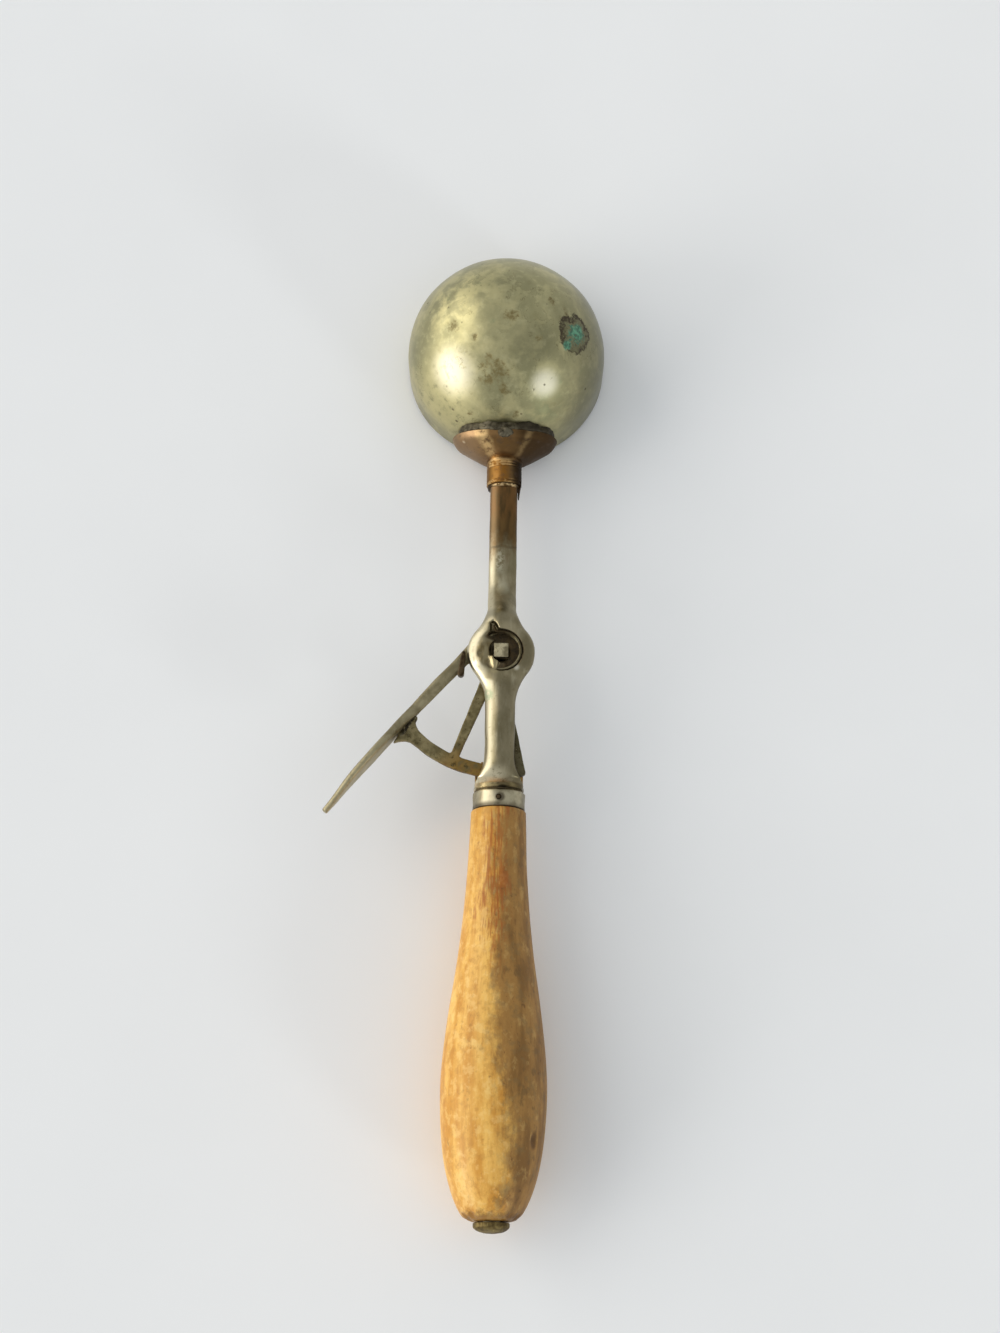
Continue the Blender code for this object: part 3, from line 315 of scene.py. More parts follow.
outline = [(BOWL_R, LIP_R - RIM)] + arc((0, 0), BOWL_R, 0, 90, 44)
outline[-1] = (0, BOWL_R)
inner = arc((0, 0), BOWL_R - BOWL_WALL, 90, 0, 36)
inner[0] = (0, BOWL_R - BOWL_WALL)
outline += inner + [(BOWL_R - BOWL_WALL, LIP_R - RIM)]
outline += arc((BOWL_R - LIP_R, LIP_R - RIM), LIP_R, 180, 360, 8)[1:-1]
bowl = moved(uneven(turned(outline, 144, (0, 0, 1)), 0.12, 11, 3.1), (0, BOWL_Y, 0))
shaft_way = peg(SHAFT_WAY_R, BOWL_Y - BOWL_R - 1, BOWL_Y - BOWL_R + 4, steps=32)
rivet_way = peg(RIVET_WAY_R, BOWL_Y + BOWL_R - 4, BOWL_Y + BOWL_R + 1, steps=32)
bowl = combined(bowl, [shaft_way, rivet_way], "DIFFERENCE")

nickel, place = new_finish("mottled_bowl_nickel")
broad = place.cloud(14, 1, detail=2)
patch = place.cloud(6, 2, rough=0.6, warp=0.3)
mottle = place.cloud(2.6, 2.6, rough=0.65)
fleck = place.cloud(1, 3, rough=0.65)
# Painted light: pale patches on the bowl's upper left and left flank, where the left windows' light falls,
# broken up by the patch and mottle noise.
left_light_patches = place.away((-14, 103, 22)).band(15, 4) * patch.band(0.4, 0.56)
left_light_patches = left_light_patches.top(place.away((-17.5, 76, 10)).band(17, 4) * mottle.band(0.3, 0.5))
# Painted highlight: paler colour at the two spots where the left and the right lights are reflected.
highlight_spots = place.away((-15.3, 80.7, 20.1)).band(10, 2) * mottle.band(0.2, 0.5)
highlight_spots = highlight_spots.top(place.away((11.2, 77.5, 20.4)).band(6, 1.5))
# Painted shade: darker down the bowl's right flank.
right_shade = (place[0] + (broad - 0.5) * 14).band(11, 25)
veil = place.away((7.5, 87, 26.5)).band(10, 3) * mottle.band(0.3, 0.5)
stain = 0
for spot, size in (((1.4, 94.7, 28.7), 2.2), ((-2.6, 79.6, 24.5), 3.4), ((-0.2, 75.6, 21.5), 1.8),
                   ((-5.4, 77.8, 22.8), 2.4), ((-5.2, 83, 25.6), 1.5), ((9.4, 88.5, 27), 1),
                   ((3, 70.9, 15), 1.4), ((-10.5, 70.6, 13), 1.3), ((17.4, 97.5, 22.8), 1.5),
                   ((13, 101, 24.8), 1.2), ((-15.8, 93, 24), 1.6), ((-9, 88.8, 26.7), 0.9)):
    reach = place.away(spot) + (mottle - 0.5) * size * 5
    stain = reach.band(size * 1.3, size * 0.1).top(stain)
stain = stain * (0.4 + fleck.band(0.38, 0.58) * 0.6)
crack = (patch + (mottle - 0.5) * 0.3 - 0.5).strip(-0.008, -0.002, 0.002, 0.008)
pit = place.specks(3.4, 4).band(0.17, 0.08) * place.cloud(6, 5, detail=3).band(0.42, 0.54)
pit = pit.top(place.specks(6, 4.4).band(0.12, 0.07) * fleck.band(0.36, 0.5))
dull_green = place.away((12, 70.5, 14.5)).band(8, 2).top(place.cloud(4, 5.5, detail=3).band(0.62, 0.74))
jagged = place.cloud(3, 6, detail=5, rough=0.65) - 0.5
ragged = place.away((19.6, 93, 21)) + jagged * 7.5
scab = ragged.band(6.2, 5.5)
heart = place.away((19.9, 92.5, 20.8)) + jagged * 9 + (fleck - 0.5) * 5
ring = scab * (1 - heart.band(5.4, 3.9) * 0.9) * (0.35 + fleck.band(0.36, 0.5) * 0.65)
green = (heart + 0.2).band(3.8, 2.8) * place.cloud(2, 7.3, detail=3).band(0.42, 0.5)
green = green.top(place.away((17.2, 88.6, 22)).band(1.9, 1) * mottle.band(0.4, 0.5))
green = green.top(place.away((20.2, 93.2, 20.3)).band(3, 1.6) * fleck.band(0.3, 0.42))
colour = broad.band(0.34, 0.64).mix((152, 147, 110), (172, 165, 124)).under(
    (patch.band(0.45, 0.68) * 0.65, (200, 190, 142)),
    (patch.band(0.5, 0.3) * 0.28, (134, 129, 94)),
    (mottle.band(0.5, 0.68) * 0.4, (202, 194, 150)),
    (mottle.band(0.47, 0.3) * 0.28, (128, 120, 80)),
    (left_light_patches * 0.65, (212, 201, 148)),
    (highlight_spots * 0.7, (206, 200, 180)),
    (right_shade * 0.55, (98, 96, 78)),
    (veil * 0.35, (104, 101, 76)),
    (stain * 0.75, (104, 88, 42)),
    (crack * place.cloud(9, 4.6, detail=3).band(0.5, 0.6) * 0.5, (92, 82, 48)),
    (pit * 0.8, (74, 66, 38)),
    (dull_green * mottle.band(0.4, 0.6) * 0.4, (112, 126, 92)),
    (scab * 0.5, fleck.band(0.4, 0.6).mix((72, 74, 50), (104, 104, 78))),
    (ring * 0.9, (58, 44, 24)),
    (green * 0.92, fleck.band(0.4, 0.62).mix((50, 96, 74), (92, 152, 120))))
rough = 0.27 + patch * 0.1 + mottle * 0.08 + highlight_spots * 0.1 + stain * 0.2 + pit * 0.2 + ring * 0.25 + green * 0.3
metal = 1 - green * 0.95 - ring * 0.5 - stain * 0.35 - pit * 0.5
height = patch * 0.3 + mottle * 0.3 + fleck * 0.12 + green * 0.9 - ring * 0.35 - pit * 0.8 - stain * 0.35
lay_on(nickel, colour, rough, metal, height, 0.1)
add_piece("bowl_dome", bowl, "handle", ["bowl"], nickel)


# Bowl socket
# A turned brass fitting: a short neck that the shank is soldered into, and a flare pressed to an
# oval whose rim is cut back to the bowl. Its front edge hangs back a little, and a lip of the
# neck runs down the shank's right side.

SEAT_GAP = 0.3
NECK_START = 53.4
NECK_R = 5.05
NECK_END = 60.2
FLARE_R = 15.2
FLARE_TOP = 66.4
FLARE_EDGE = 1.3
FLARE_PRESS = 0.17
FLARE_DIP = 1.2
FLARE_CURL = 4
FLARE_HOLLOW = 0.8
SHANK_BORE_R = 4
SHANK_TOP = 59.4
LIP_HALF = 1.6
GROOVE_HALF = 0.3
GROOVE_DEEP = 0.16


def smooth(value, start, end):
    """Rises from 0 to 1 between start and end with level ends."""
    share = min(max((value - start) / (end - start), 0), 1)
    return share * share * (3 - 2 * share)


def press_flare(bm):
    """Press the flare's round rim to an oval whose front edge hangs back a little."""
    for vert in bm.verts:
        share = smooth(hypot(vert.co.x, vert.co.z), NECK_R, FLARE_R)
        front = max(vert.co.z, 0) / FLARE_R
        vert.co.y -= FLARE_DIP * share * front ** 2
        vert.co.z *= 1 - FLARE_PRESS * share
    return bm


def bowl_room(gap):
    """What the bowl takes up, with a gap, to cut its neighbours to its outside."""
    seat = BOWL_R + gap
    outline = [(0, -2 * RIM), (seat, -2 * RIM)] + arc((0, 0), seat, 0, 90, 40)
    outline[-1] = (0, seat)
    return moved(turned(outline, 128, (0, 0, 1)), (0, BOWL_Y, 0))


def block(low, high):
    """A box between two corners."""
    bm = bmesh.new()
    bmesh.ops.create_cube(bm, size=1)
    size = Vector(high) - Vector(low)
    bmesh.ops.scale(bm, verts=bm.verts[:], vec=size)
    return moved(bm, (Vector(high) + Vector(low)) / 2)


def under_trim(height):
    """What lies under the bowl's rim, where flare and solder stop."""
    return block((-20, NECK_END, -30), (20, BOWL_Y, -height))


slope = atan2(FLARE_TOP - NECK_END, FLARE_R - NECK_R)
curl_start = FLARE_R - FLARE_CURL * (1 - sin(slope))
cone = []
for i in range(25):
    share = i / 24
    radius = NECK_R + (curl_start - NECK_R) * share
    hollow = FLARE_HOLLOW * max(1 - share / 0.4, 0) ** 2
    cone.append((radius, NECK_END + (radius - NECK_R) * tan(slope) + hollow))
curl_middle = (FLARE_R - FLARE_CURL, cone[-1][1] + FLARE_CURL * cos(slope))
curl = arc(curl_middle, FLARE_CURL, degrees(slope) - 90, -18, 8)
outline = [(SHANK_BORE_R, NECK_START), (NECK_R - 0.25, NECK_START), (NECK_R, NECK_START + 0.25)]
for groove in (NECK_START + 0.9, NECK_END - 1.6, NECK_END - 0.8):
    outline += [(NECK_R, groove - GROOVE_HALF), (NECK_R - GROOVE_DEEP, groove - GROOVE_HALF / 3),
                (NECK_R - GROOVE_DEEP, groove + GROOVE_HALF / 3), (NECK_R, groove + GROOVE_HALF)]
outline += cone + curl[1:]
outline += [(FLARE_R, FLARE_TOP + FLARE_EDGE), (SHAFT_WAY_R, FLARE_TOP + FLARE_EDGE)]
outline += [(SHAFT_WAY_R, SHANK_TOP + SEAT_GAP), (SHANK_BORE_R, SHANK_TOP + SEAT_GAP)]
socket = turned(outline, 128)
press_flare(socket)
lip = block((SHANK_BORE_R, NECK_START - 3.3, -LIP_HALF), (NECK_R - 0.1, NECK_START + 1.1, LIP_HALF))
for vert in lip.verts:
    if vert.co.y < NECK_START - 1 and vert.co.x > SHANK_BORE_R + 0.5:
        vert.co.x = SHANK_BORE_R + 0.4
socket = combined(socket, [lip], "UNION")
socket = combined(socket, [bowl_room(SEAT_GAP), under_trim(RIM)], "DIFFERENCE")
uneven(socket, 0.1, 4, 7.7)

brass, place = new_finish("brown_socket_brass")
soft = place.stretched(0.5).cloud(4.5, 11, detail=3)
grime = place.cloud(1.8, 12, rough=0.65)
across = place[0]
forward = place[2]
# Painted highlights: two soft light streaks down the flare, left and right of its front.
left_highlight_line = across + forward * 0.6 + (soft - 0.5) * 5
right_highlight_line = across - forward * 0.68 + (soft - 0.5) * 4
painted_streaks = left_highlight_line.strip(-3.2, -0.4, 0.2, 2.8)
painted_streaks = painted_streaks.top(right_highlight_line.strip(-2.4, 0, 0, 2.2) * 0.3) * forward.band(1, 4)
collar = place[1].band(NECK_END + 0.3, NECK_END - 0.3)
groove = place[1].strip(NECK_END - 1.9, NECK_END - 1.6, NECK_END + 0.1, NECK_END + 0.5)
# A painted highlight line along the groove and the neck's lower edge, broken up by the grime.
line = groove.top(place[1].band(NECK_START + 1.2, NECK_START + 0.7)) * grime.band(0.46, 0.6)
crumb = place.away((-12.2, 64.6, 5.6)).band(1, 0.5).top(place.specks(4.2, 14).band(0.11, 0.06))
# Painted light and shade: lighter down the left side, dark down the right side and very dark on the collar's
# right.
colour = soft.band(0.36, 0.64).mix((118, 90, 56), (140, 108, 70)).under(
    (across.band(0.5, 6) * 0.9, (62, 46, 28)),
    (across.band(-4, -10) * 0.6, (158, 130, 98)),
    (painted_streaks * grime.band(0.34, 0.56) * 0.7, (222, 188, 132)),
    (collar * across.band(3, 0) * 0.8, (142, 94, 32)),
    (collar * across.band(-1.6, -4) * 0.7, (118, 84, 36)),
    (collar * across.band(0, 3.8) * 0.9, (40, 27, 12)),
    (line * across.band(2.6, 0.8) * 0.6, (208, 174, 120)),
    (grime.band(0.46, 0.34) * 0.4, (70, 50, 30)),
    (crumb * 0.7, (214, 200, 168)))
rough = 0.3 + soft * 0.1 + grime * 0.14 + crumb * 0.2 + across.band(1, 5) * 0.16
lay_on(brass, colour, rough, 1 - grime.band(0.46, 0.34) * 0.3 - crumb * 0.6, soft * 0.5 + grime * 0.4, 0.05)
add_piece("flared_socket", socket, "handle", ["bowl_socket"], brass)


# Solder
# Soft solder run into the corner between the flare's rim and the dome, lumpy and gone dark, with
# one drop pulled out at the front. A thin bead closes the gap under the neck.

FILLET = 0.4
SOLDER_THIN = 0.09
SOLDER_THIN_LEFT = 0.16
SOLDER_END = 7
SOLDER_BASE = FLARE_TOP + FLARE_EDGE + 0.06
SOLDER_SEAT = 0.08


def blob(reach, fineness=4):
    """A ball stretched to its reach along each axis."""
    bm = bmesh.new()
    bmesh.ops.create_icosphere(bm, subdivisions=fineness, radius=1)
    bmesh.ops.scale(bm, verts=bm.verts[:], vec=reach)
    return bm


outer = FLARE_R + FILLET
top = BOWL_Y - sqrt(BOWL_R ** 2 - outer ** 2)
outline = [(FLARE_R * 0.8, SOLDER_BASE)]
outline += arc((outer - 0.7, SOLDER_BASE + 0.7), 0.7, -90, 0, 6)
outline += [(outer, SOLDER_BASE + 1.4 + 0.3 * i) for i in range(4)]
outline += [(outer, top), (FLARE_R * 0.8, top)]
solder = turned(outline, 160)
for vert in solder.verts:
    thin = SOLDER_THIN_LEFT if vert.co.x < 0 else SOLDER_THIN
    vert.co.x *= 1 - thin * (1 - max(vert.co.z, 0) / outer)
DROP_AT = (0.2, SOLDER_BASE - FLARE_DIP - 0.9, FLARE_R * (1 - FLARE_PRESS) - 0.3)
drop = moved(uneven(blob((1.8, 1.7, 0.85)), 0.35, 1.1, 5), DROP_AT)
solder = combined(press_flare(solder), [drop], "UNION")
uneven(uneven(solder, 0.55, 3.4, 2.3), 0.3, 1.3, 3.3)
solder = combined(solder, [bowl_room(SOLDER_SEAT), under_trim(SOLDER_END)], "DIFFERENCE")

solder_grey, place = new_finish("dull_solder")
lump = place.cloud(1.4, 21, warp=0.7)
soot = place.cloud(3, 22, detail=3)
grey = place.away((-5.5, SOLDER_BASE + 0.6, 11)).band(4.6, 1) * 0.8
grey = grey.top(place.away(DROP_AT).band(3.4, 1))
# The band towards the right side is painted shade.
colour = lump.band(0.36, 0.62).mix((62, 55, 40), (98, 90, 70)).under(
    (soot.band(0.54, 0.42) * 0.6, (44, 38, 26)),
    (place[0].band(1.5, 6) * 0.7, (46, 38, 26)),
    (grey * lump.band(0.3, 0.6) * 0.6, (126, 118, 98)))
lay_on(solder_grey, colour, 0.42 + soot * 0.25, 0.75, lump, 0.06)
add_piece("rim_solder_ring", solder, "handle", ["rim_solder"], solder_grey, 50)

BEAD_TOP = NECK_START - SEAT_GAP
BEAD = 0.7
outline = [(SHANK_BORE_R, BEAD_TOP - BEAD)]
outline += arc((SHANK_BORE_R, BEAD_TOP), NECK_R - 0.3 - SHANK_BORE_R, -80, 0, 6)
outline += [(SHANK_BORE_R, BEAD_TOP)]
bead = turned(outline, 96)
bead = combined(bead, [block((0, BEAD_TOP - 2, -LIP_HALF - 0.3), (8, BEAD_TOP + 2, LIP_HALF + 0.3))],
                "DIFFERENCE")
uneven(bead, 0.12, 0.9, 8)
bead_silver, place = new_finish("neck_bead_silver")
lump = place.cloud(0.9, 25, detail=3)
colour = lump.band(0.42, 0.6).mix((104, 80, 46), (186, 160, 118)).under(
    (place[0].band(-2.6, -4).top(place[0].band(2.6, 4)), (58, 42, 24)))
lay_on(bead_silver, colour, 0.38 + lump * 0.2, 0.9, lump, 0.08)
add_piece("neck_solder_bead", bead, "handle", ["neck_solder"], bead_silver, 50)


# Cast frame
# One nickel-plated brass casting: the round shank that holds the shaft, the eye with its cup for
# the return spring, the flat-backed bar and the flared foot over the handle. The plating is worn
# through to brown brass at the top of the shank.

SHANK_R_TOP = 3.9
SHANK_R = 4
SHANK_TAPER_END = 19.6
NECK_FILLET_R = 12
EYE_R = 9.5
CUP_R = 6.1
BAR_FILLET_R = 15
BAR_HALF = 4.2
BAR_T = 4.5
FOOT_R = 7
FOOT_T = 1.6
FOOT_FLARE_R = 10.9
FOOT_FLARE_LEN = 7.9
FOOT_BEND_R = 6.2
BOSS_R = 4.2
BARREL_END = 12.2
RISE_START = 23.5
RISE_END = 8.5
BACK_LAG = 2.5
FRAME_FRONT = span("frame")[1].z
FRAME_BACK = FRAME_FRONT - BAR_T
CUP_Z = FRAME_BACK + 1
HUB_R = 9
FOOT_TOP = -36.2
FOOT_END = FOOT_TOP - FOOT_T
BOSS_END = span("frame")[0].y
SHAFT_BORE_R = 2.3
TENON_WAY_R = 1.6
TENON_WAY_DEEP = 1.5
ROD_WAY_R = 2.8
ROD_WAY_DEEP = 3.1
STUD_R = 2
STUD_ROOM_R = 3.4
TAIL_AT = radians(107)
TAIL_R = 7.9
SLOT_HALF = 0.9
SLOT_Z = CUP_Z + 1.2
OVER_FRONT = FRAME_FRONT + 2


def fillet_span(side, radius):
    """Where a fillet between the eye's disc and a straight side leaves the disc and meets the side."""
    along = sqrt((EYE_R + radius) ** 2 - (side + radius) ** 2)
    return along * EYE_R / (EYE_R + radius), along


def swept(side, radius, past):
    """Half width where a fillet has gone this far past the end of a straight side."""
    return side + radius - sqrt(max(radius ** 2 - past ** 2, 0))


def frame_half_width(y):
    """Half the casting's width on its way down: shank, eye, bar, and the foot's flare."""
    upper_disc, upper_end = fillet_span(SHANK_R, NECK_FILLET_R)
    lower_disc, lower_end = fillet_span(BAR_HALF, BAR_FILLET_R)
    flare_start = FOOT_END + FOOT_FLARE_LEN
    if y >= SHANK_TAPER_END:
        share = (y - SHANK_TAPER_END) / (SHANK_TOP - SHANK_TAPER_END)
        return SHANK_R + (SHANK_R_TOP - SHANK_R) * share
    if y >= upper_end:
        return SHANK_R
    if y >= upper_disc:
        return swept(SHANK_R, NECK_FILLET_R, upper_end - y)
    if y >= -lower_disc:
        return sqrt(EYE_R ** 2 - y ** 2)
    if y >= -lower_end:
        return swept(BAR_HALF, BAR_FILLET_R, y + lower_end)
    if y >= flare_start:
        return BAR_HALF
    return min(swept(BAR_HALF, FOOT_FLARE_R, flare_start - y), FOOT_R - 0.1)


def frame_front(y):
    """How far forward the casting stands, falling away at the foot."""
    side = frame_half_width(max(y, RISE_START))
    front = side + (FRAME_FRONT - side) * smooth(y, RISE_START, RISE_END)
    bend = FOOT_END + FOOT_BEND_R
    if y < bend:
        front -= swept(0, FOOT_BEND_R, bend - y)
    return front


def frame_back(y):
    """How far back it goes: round on the shank, then flat behind the eye and bar."""
    if y < FOOT_TOP:
        return 0
    side = frame_half_width(max(y, RISE_START))
    return -side + (FRAME_BACK + side) * smooth(y, RISE_START - BACK_LAG, HUB_R + 0.7)


def squared(value, power):
    """A sine or cosine pushed out towards a square's side, more for a larger power."""
    return copysign(abs(value) ** (2 / power), value)


def frame_section(y, count=64):
    """A rounded section: round on the shank, flat-backed and round-fronted on the eye and bar."""
    half, front, back = frame_half_width(y), frame_front(y), frame_back(y)
    shaped = smooth(y, RISE_START, RISE_END)
    widening = max((half - BAR_HALF) / (EYE_R - BAR_HALF), 0)
    front_power = 2 + shaped * (0.5 * min(widening, 1) - 0.35)
    back_power = 2 + shaped * 4
    low = max(back, front - BAR_T)
    waist = (front + low) / 2 - shaped * (front - low) * 0.22
    section = []
    for i in range(count):
        angle = tau * (i + 0.5) / count
        across, up = cos(angle), sin(angle)
        power = front_power if up > 0 else back_power
        reach = front - waist if up > 0 else waist - back
        section.append(Vector((half * squared(across, power), y, waist + reach * squared(up, power))))
    return section


def drawn_through(sections):
    """Extrude a ring from section to section, and close both ends."""
    bm = bmesh.new()
    ring = bmesh.ops.create_circle(bm, segments=len(sections[0]), radius=1)["verts"]
    for vert, point in zip(ring, sections[0]):
        vert.co = point
    edges = bm.edges[:]
    first = edges
    for section in sections[1:]:
        grown = bmesh.ops.extrude_edge_only(bm, edges=edges)["geom"]
        edges = [item for item in grown if isinstance(item, bmesh.types.BMEdge)]
        after = {}
        for vert in ring:
            for edge in vert.link_edges:
                other = edge.other_vert(vert)
                if other.is_valid and other in set(grown) and other not in after.values():
                    after[vert] = other
        ring = [after[vert] for vert in ring]
        for vert, point in zip(ring, section):
            vert.co = point
        edges = [edge for edge in edges if edge.verts[0] in set(ring) and edge.verts[1] in set(ring)]
    bmesh.ops.contextual_create(bm, geom=first)
    bmesh.ops.contextual_create(bm, geom=edges)
    return faced_out(bm)


def cast(bm, grain, passes):
    """Melt the forms into one skin with soft edges, as a casting has."""
    work = workpiece(bm)
    step = work.modifiers.new("skin", "REMESH")
    step.mode = "VOXEL"
    step.voxel_size = grain
    shape = taken_off(work)
    for _ in range(passes):
        bmesh.ops.smooth_vert(shape, verts=shape.verts[:], factor=0.5,
                              use_axis_x=True, use_axis_y=True, use_axis_z=True)
    return shape


def swung(bm, angle, axis):
    """Turn a shape about an axis through the origin."""
    bmesh.ops.rotate(bm, verts=bm.verts[:], cent=(0, 0, 0), matrix=Matrix.Rotation(angle, 3, axis))
    return bm


stations = []
y = SHANK_TOP
while y > FOOT_END + 0.05:
    stations.append(y)
    y -= 0.6 if y < RISE_START + 1 else 1.5
stations.append(FOOT_END)
shape = drawn_through([frame_section(y) for y in stations])
barrel = peg(SHANK_R - 0.1, BARREL_END, RISE_START + 2)
foot = turned([(0, FOOT_TOP), (FOOT_R - 0.3, FOOT_TOP), (FOOT_R, FOOT_TOP - 0.3), (FOOT_R, FOOT_END),
               (BOSS_R, FOOT_END), (BOSS_R, BOSS_END), (0, BOSS_END)], 96)
shape = combined(shape, [barrel, foot], "UNION")
tail_way = (TAIL_R * cos(TAIL_AT), TAIL_R * sin(TAIL_AT), 0)
slot = block((-SLOT_HALF, 4, SLOT_Z), (SLOT_HALF, TAIL_R, OVER_FRONT))
for vert in slot.verts:
    if vert.co.y < TAIL_R - 1:
        vert.co.x *= 1.9
cuts = [
    peg(SHAFT_BORE_R, HUB_R, SHANK_TOP + 1),
    peg(TENON_WAY_R, FOOT_TOP - TENON_WAY_DEEP, FOOT_TOP + 1),
    peg(ROD_WAY_R, BOSS_END - 1, BOSS_END + ROD_WAY_DEEP),
    peg(CUP_R, CUP_Z, OVER_FRONT, (0, 0, 1), 96),
    peg(STUD_R + SEAT_GAP, FRAME_BACK - 1, CUP_Z + 1, (0, 0, 1)),
    moved(peg(SLOT_HALF, SLOT_Z, OVER_FRONT, (0, 0, 1)), tail_way),
    swung(slot, TAIL_AT - pi / 2, "Z"),
]
shape = combined(shape, cuts, "DIFFERENCE")
# Two lumps of old dirt lie in the cup, with a bent tongue of it under the stud.
dirt = []
for middle, size in (((-4.2, -0.6, 1.8), (3.7, 5.2, 1.6)), ((-1.6, -4.6, 1.2), (3.6, 2.4, 1.4))):
    dirt.append(moved(uneven(blob(size), 0.5, 1.6, 2), Vector(middle) + Vector((0, 0, CUP_Z))))
tongue = bmesh.new()
bmesh.ops.create_cone(tongue, cap_ends=True, segments=24, radius1=1.9, radius2=0.3, depth=4.6)
dirt.append(moved(swung(tongue, radians(96), "X"), (-1.7, -4, CUP_Z + 2.6)))
shape = combined(shape, dirt, "UNION")
shape = combined(shape, [peg(STUD_ROOM_R, CUP_Z + 0.1, FRAME_FRONT + 1, (0, 0, 1))], "DIFFERENCE")
shape = uneven(cast(shape, 0.3, 3), 0.1, 5, 1.3)

casting, place = new_finish("worn_cast_nickel")
broad = place.stretched(0.5).cloud(4, 31)
fleck = place.cloud(1.1, 32, rough=0.65)
smear = place.stretched(0.3).cloud(2.2, 33, detail=3)
from_pivot = place.stretched(forward=0).away((0, 0, 0))
# Painted highlight: cream along the left edge of the shank and bar and on the left of the eye's rim.
left_edge_highlight = from_pivot.band(8.6, 9.6) * place[0].band(-1.6, -2.8)
left_edge_highlight = left_edge_highlight.top(from_pivot.band(6.4, 7.2) * place[0].band(-3, -5.5))
# A painted glint on the cup's rim at its lower right.
glint = place.away((4.5, -5, FRAME_FRONT)).band(1.4, 0.4) * from_pivot.band(6, 6.2)
shaded = from_pivot.band(5.8, 6.4) * place[0].band(3, 6.5)
worn = (place[1] + (smear - 0.5) * 14 + (fleck - 0.5) * 6).band(28.5, 38.5)
# The brass where the plating is worn through, with a painted lighter streak down its left side.
brown = smear.band(0.34, 0.66).mix((74, 54, 26), (100, 74, 38)).under(
    (place[0].band(-0.8, -2.8) * 0.4, (158, 130, 92)),
    (place[1].band(40, 46) * smear.band(0.4, 0.6) * 0.3, (122, 74, 34)))
olive = place[1].band(22.5, 27) * place[0].band(-3.6, -1.6)
drift = place[1] + (broad - 0.5) * 3
seam = drift.strip(33.4, 33.9, 34.1, 34.6)
pale_patch = place.stretched(0.4).away((-0.8, 11.8, 4)).band(2, 0.4) * fleck.band(0.42, 0.56)
pale_patch = pale_patch.top(place.stretched(0.4).away((0.2, 8, 4.6)).band(2.4, 0.8) * 0.8)
# Painted shade: the bar's middle and right side, and a band over the eye.
bar_right_shade = place[0].band(-2.2, 0.6) * place[1].band(-7, -10)
shade_over_eye = place[1].strip(7, 9, 11.5, 14)
# Painted light: a pale band on the foot's lower part, left of its middle.
lit_foot_left = place[1].band(-32, -35.5) * place[0].band(3.5, -1)
in_cup = place.away((0, 0, CUP_Z + 1.4)).band(6.9, 6.2)
in_cup = in_cup * place[2].band(FRAME_FRONT - 0.25, FRAME_FRONT - 1.1)
old_dirt = fleck.band(0.36, 0.6).mix((44, 30, 10), (84, 64, 30)).under(
    (place[0].band(-1, -4.2) * smear.band(0.36, 0.6) * 0.8, (150, 138, 106)))
grime = in_cup.top(seam * 0.5).top(fleck.band(0.64, 0.76) * 0.35)
foot_spot = place.away((1, -37.4, 7.6)).band(1.7, 0.8)
smeared = place.away((-3.6, -0.9, FRAME_FRONT)).band(4.4, 2.4) * fleck.band(0.3, 0.5)
clot = place.away((-2.2, 4.6, FRAME_FRONT - 0.4)).band(2.2, 1.2)
tongue_at = place.stretched(0.5).away((-1.7, -2, CUP_Z + 3)).band(1.9, 1.2)
tongue_at = tongue_at * place[2].band(CUP_Z + 2.4, CUP_Z + 2.9)
greenish = place.away((-3.9, -13, 12.6)).band(3, 1) * fleck.band(0.4, 0.55)
on_shank = place[1].strip(11, 15, 22, 27)
colour = broad.band(0.36, 0.62).mix((130, 120, 92), (158, 147, 118)).under(
    (smear.band(0.52, 0.68) * 0.45, (192, 184, 156)),
    (left_edge_highlight * 0.55, (226, 216, 186)),
    (glint * 0.7, (246, 240, 218)),
    (shaded * 0.4, (98, 90, 68)),
    (fleck.band(0.44, 0.3) * 0.35, (104, 92, 64)),
    (olive * 0.5, (116, 106, 78)),
    (worn * 0.95, brown),
    (pale_patch * 0.6, (206, 200, 174)),
    (bar_right_shade * 0.45 + shade_over_eye * 0.35, (98, 90, 68)),
    (lit_foot_left * fleck.band(0.3, 0.5) * 0.8, (218, 206, 174)),
    (grime * 0.9, old_dirt),
    (foot_spot * 0.85, (52, 42, 26)),
    (smeared * 0.7, smear.band(0.4, 0.6).mix((92, 76, 42), (136, 122, 88))),
    (clot * 0.85, (56, 42, 20)),
    (tongue_at * 0.7, (170, 156, 118)),
    (greenish * 0.6, (128, 150, 112)))
rough = 0.28 + broad * 0.12 + grime * 0.3 + worn * 0.04 + on_shank * 0.16
height = broad * 0.3 + fleck * 0.3 + smear * 0.2 - grime * 0.2
lay_on(casting, colour, rough, 1 - grime * 0.5 - worn * 0.12 - greenish * 0.4, height, 0.05)
add_piece("cast_frame", shape, "handle", ["frame"], casting, None)


# Return spring
# Dark spring wire wound flat inside the eye's cup, round the square end of the pivot stud. Its
# outer tail lies in the slot at the top of the cup and brings the lever back.

WIRE_R = 0.4
SPRING_TURNS = 1.75
SPRING_PITCH = 1.25
COIL_R = CUP_R - SEAT_GAP - WIRE_R
SPRING_LOW = CUP_Z + SEAT_GAP + WIRE_R
SPRING_TOP = SPRING_LOW + SPRING_TURNS * SPRING_PITCH
SPRING_BEND = 1
SPRING_TAIL_R = 7.5
STUD_SQUARE = 4

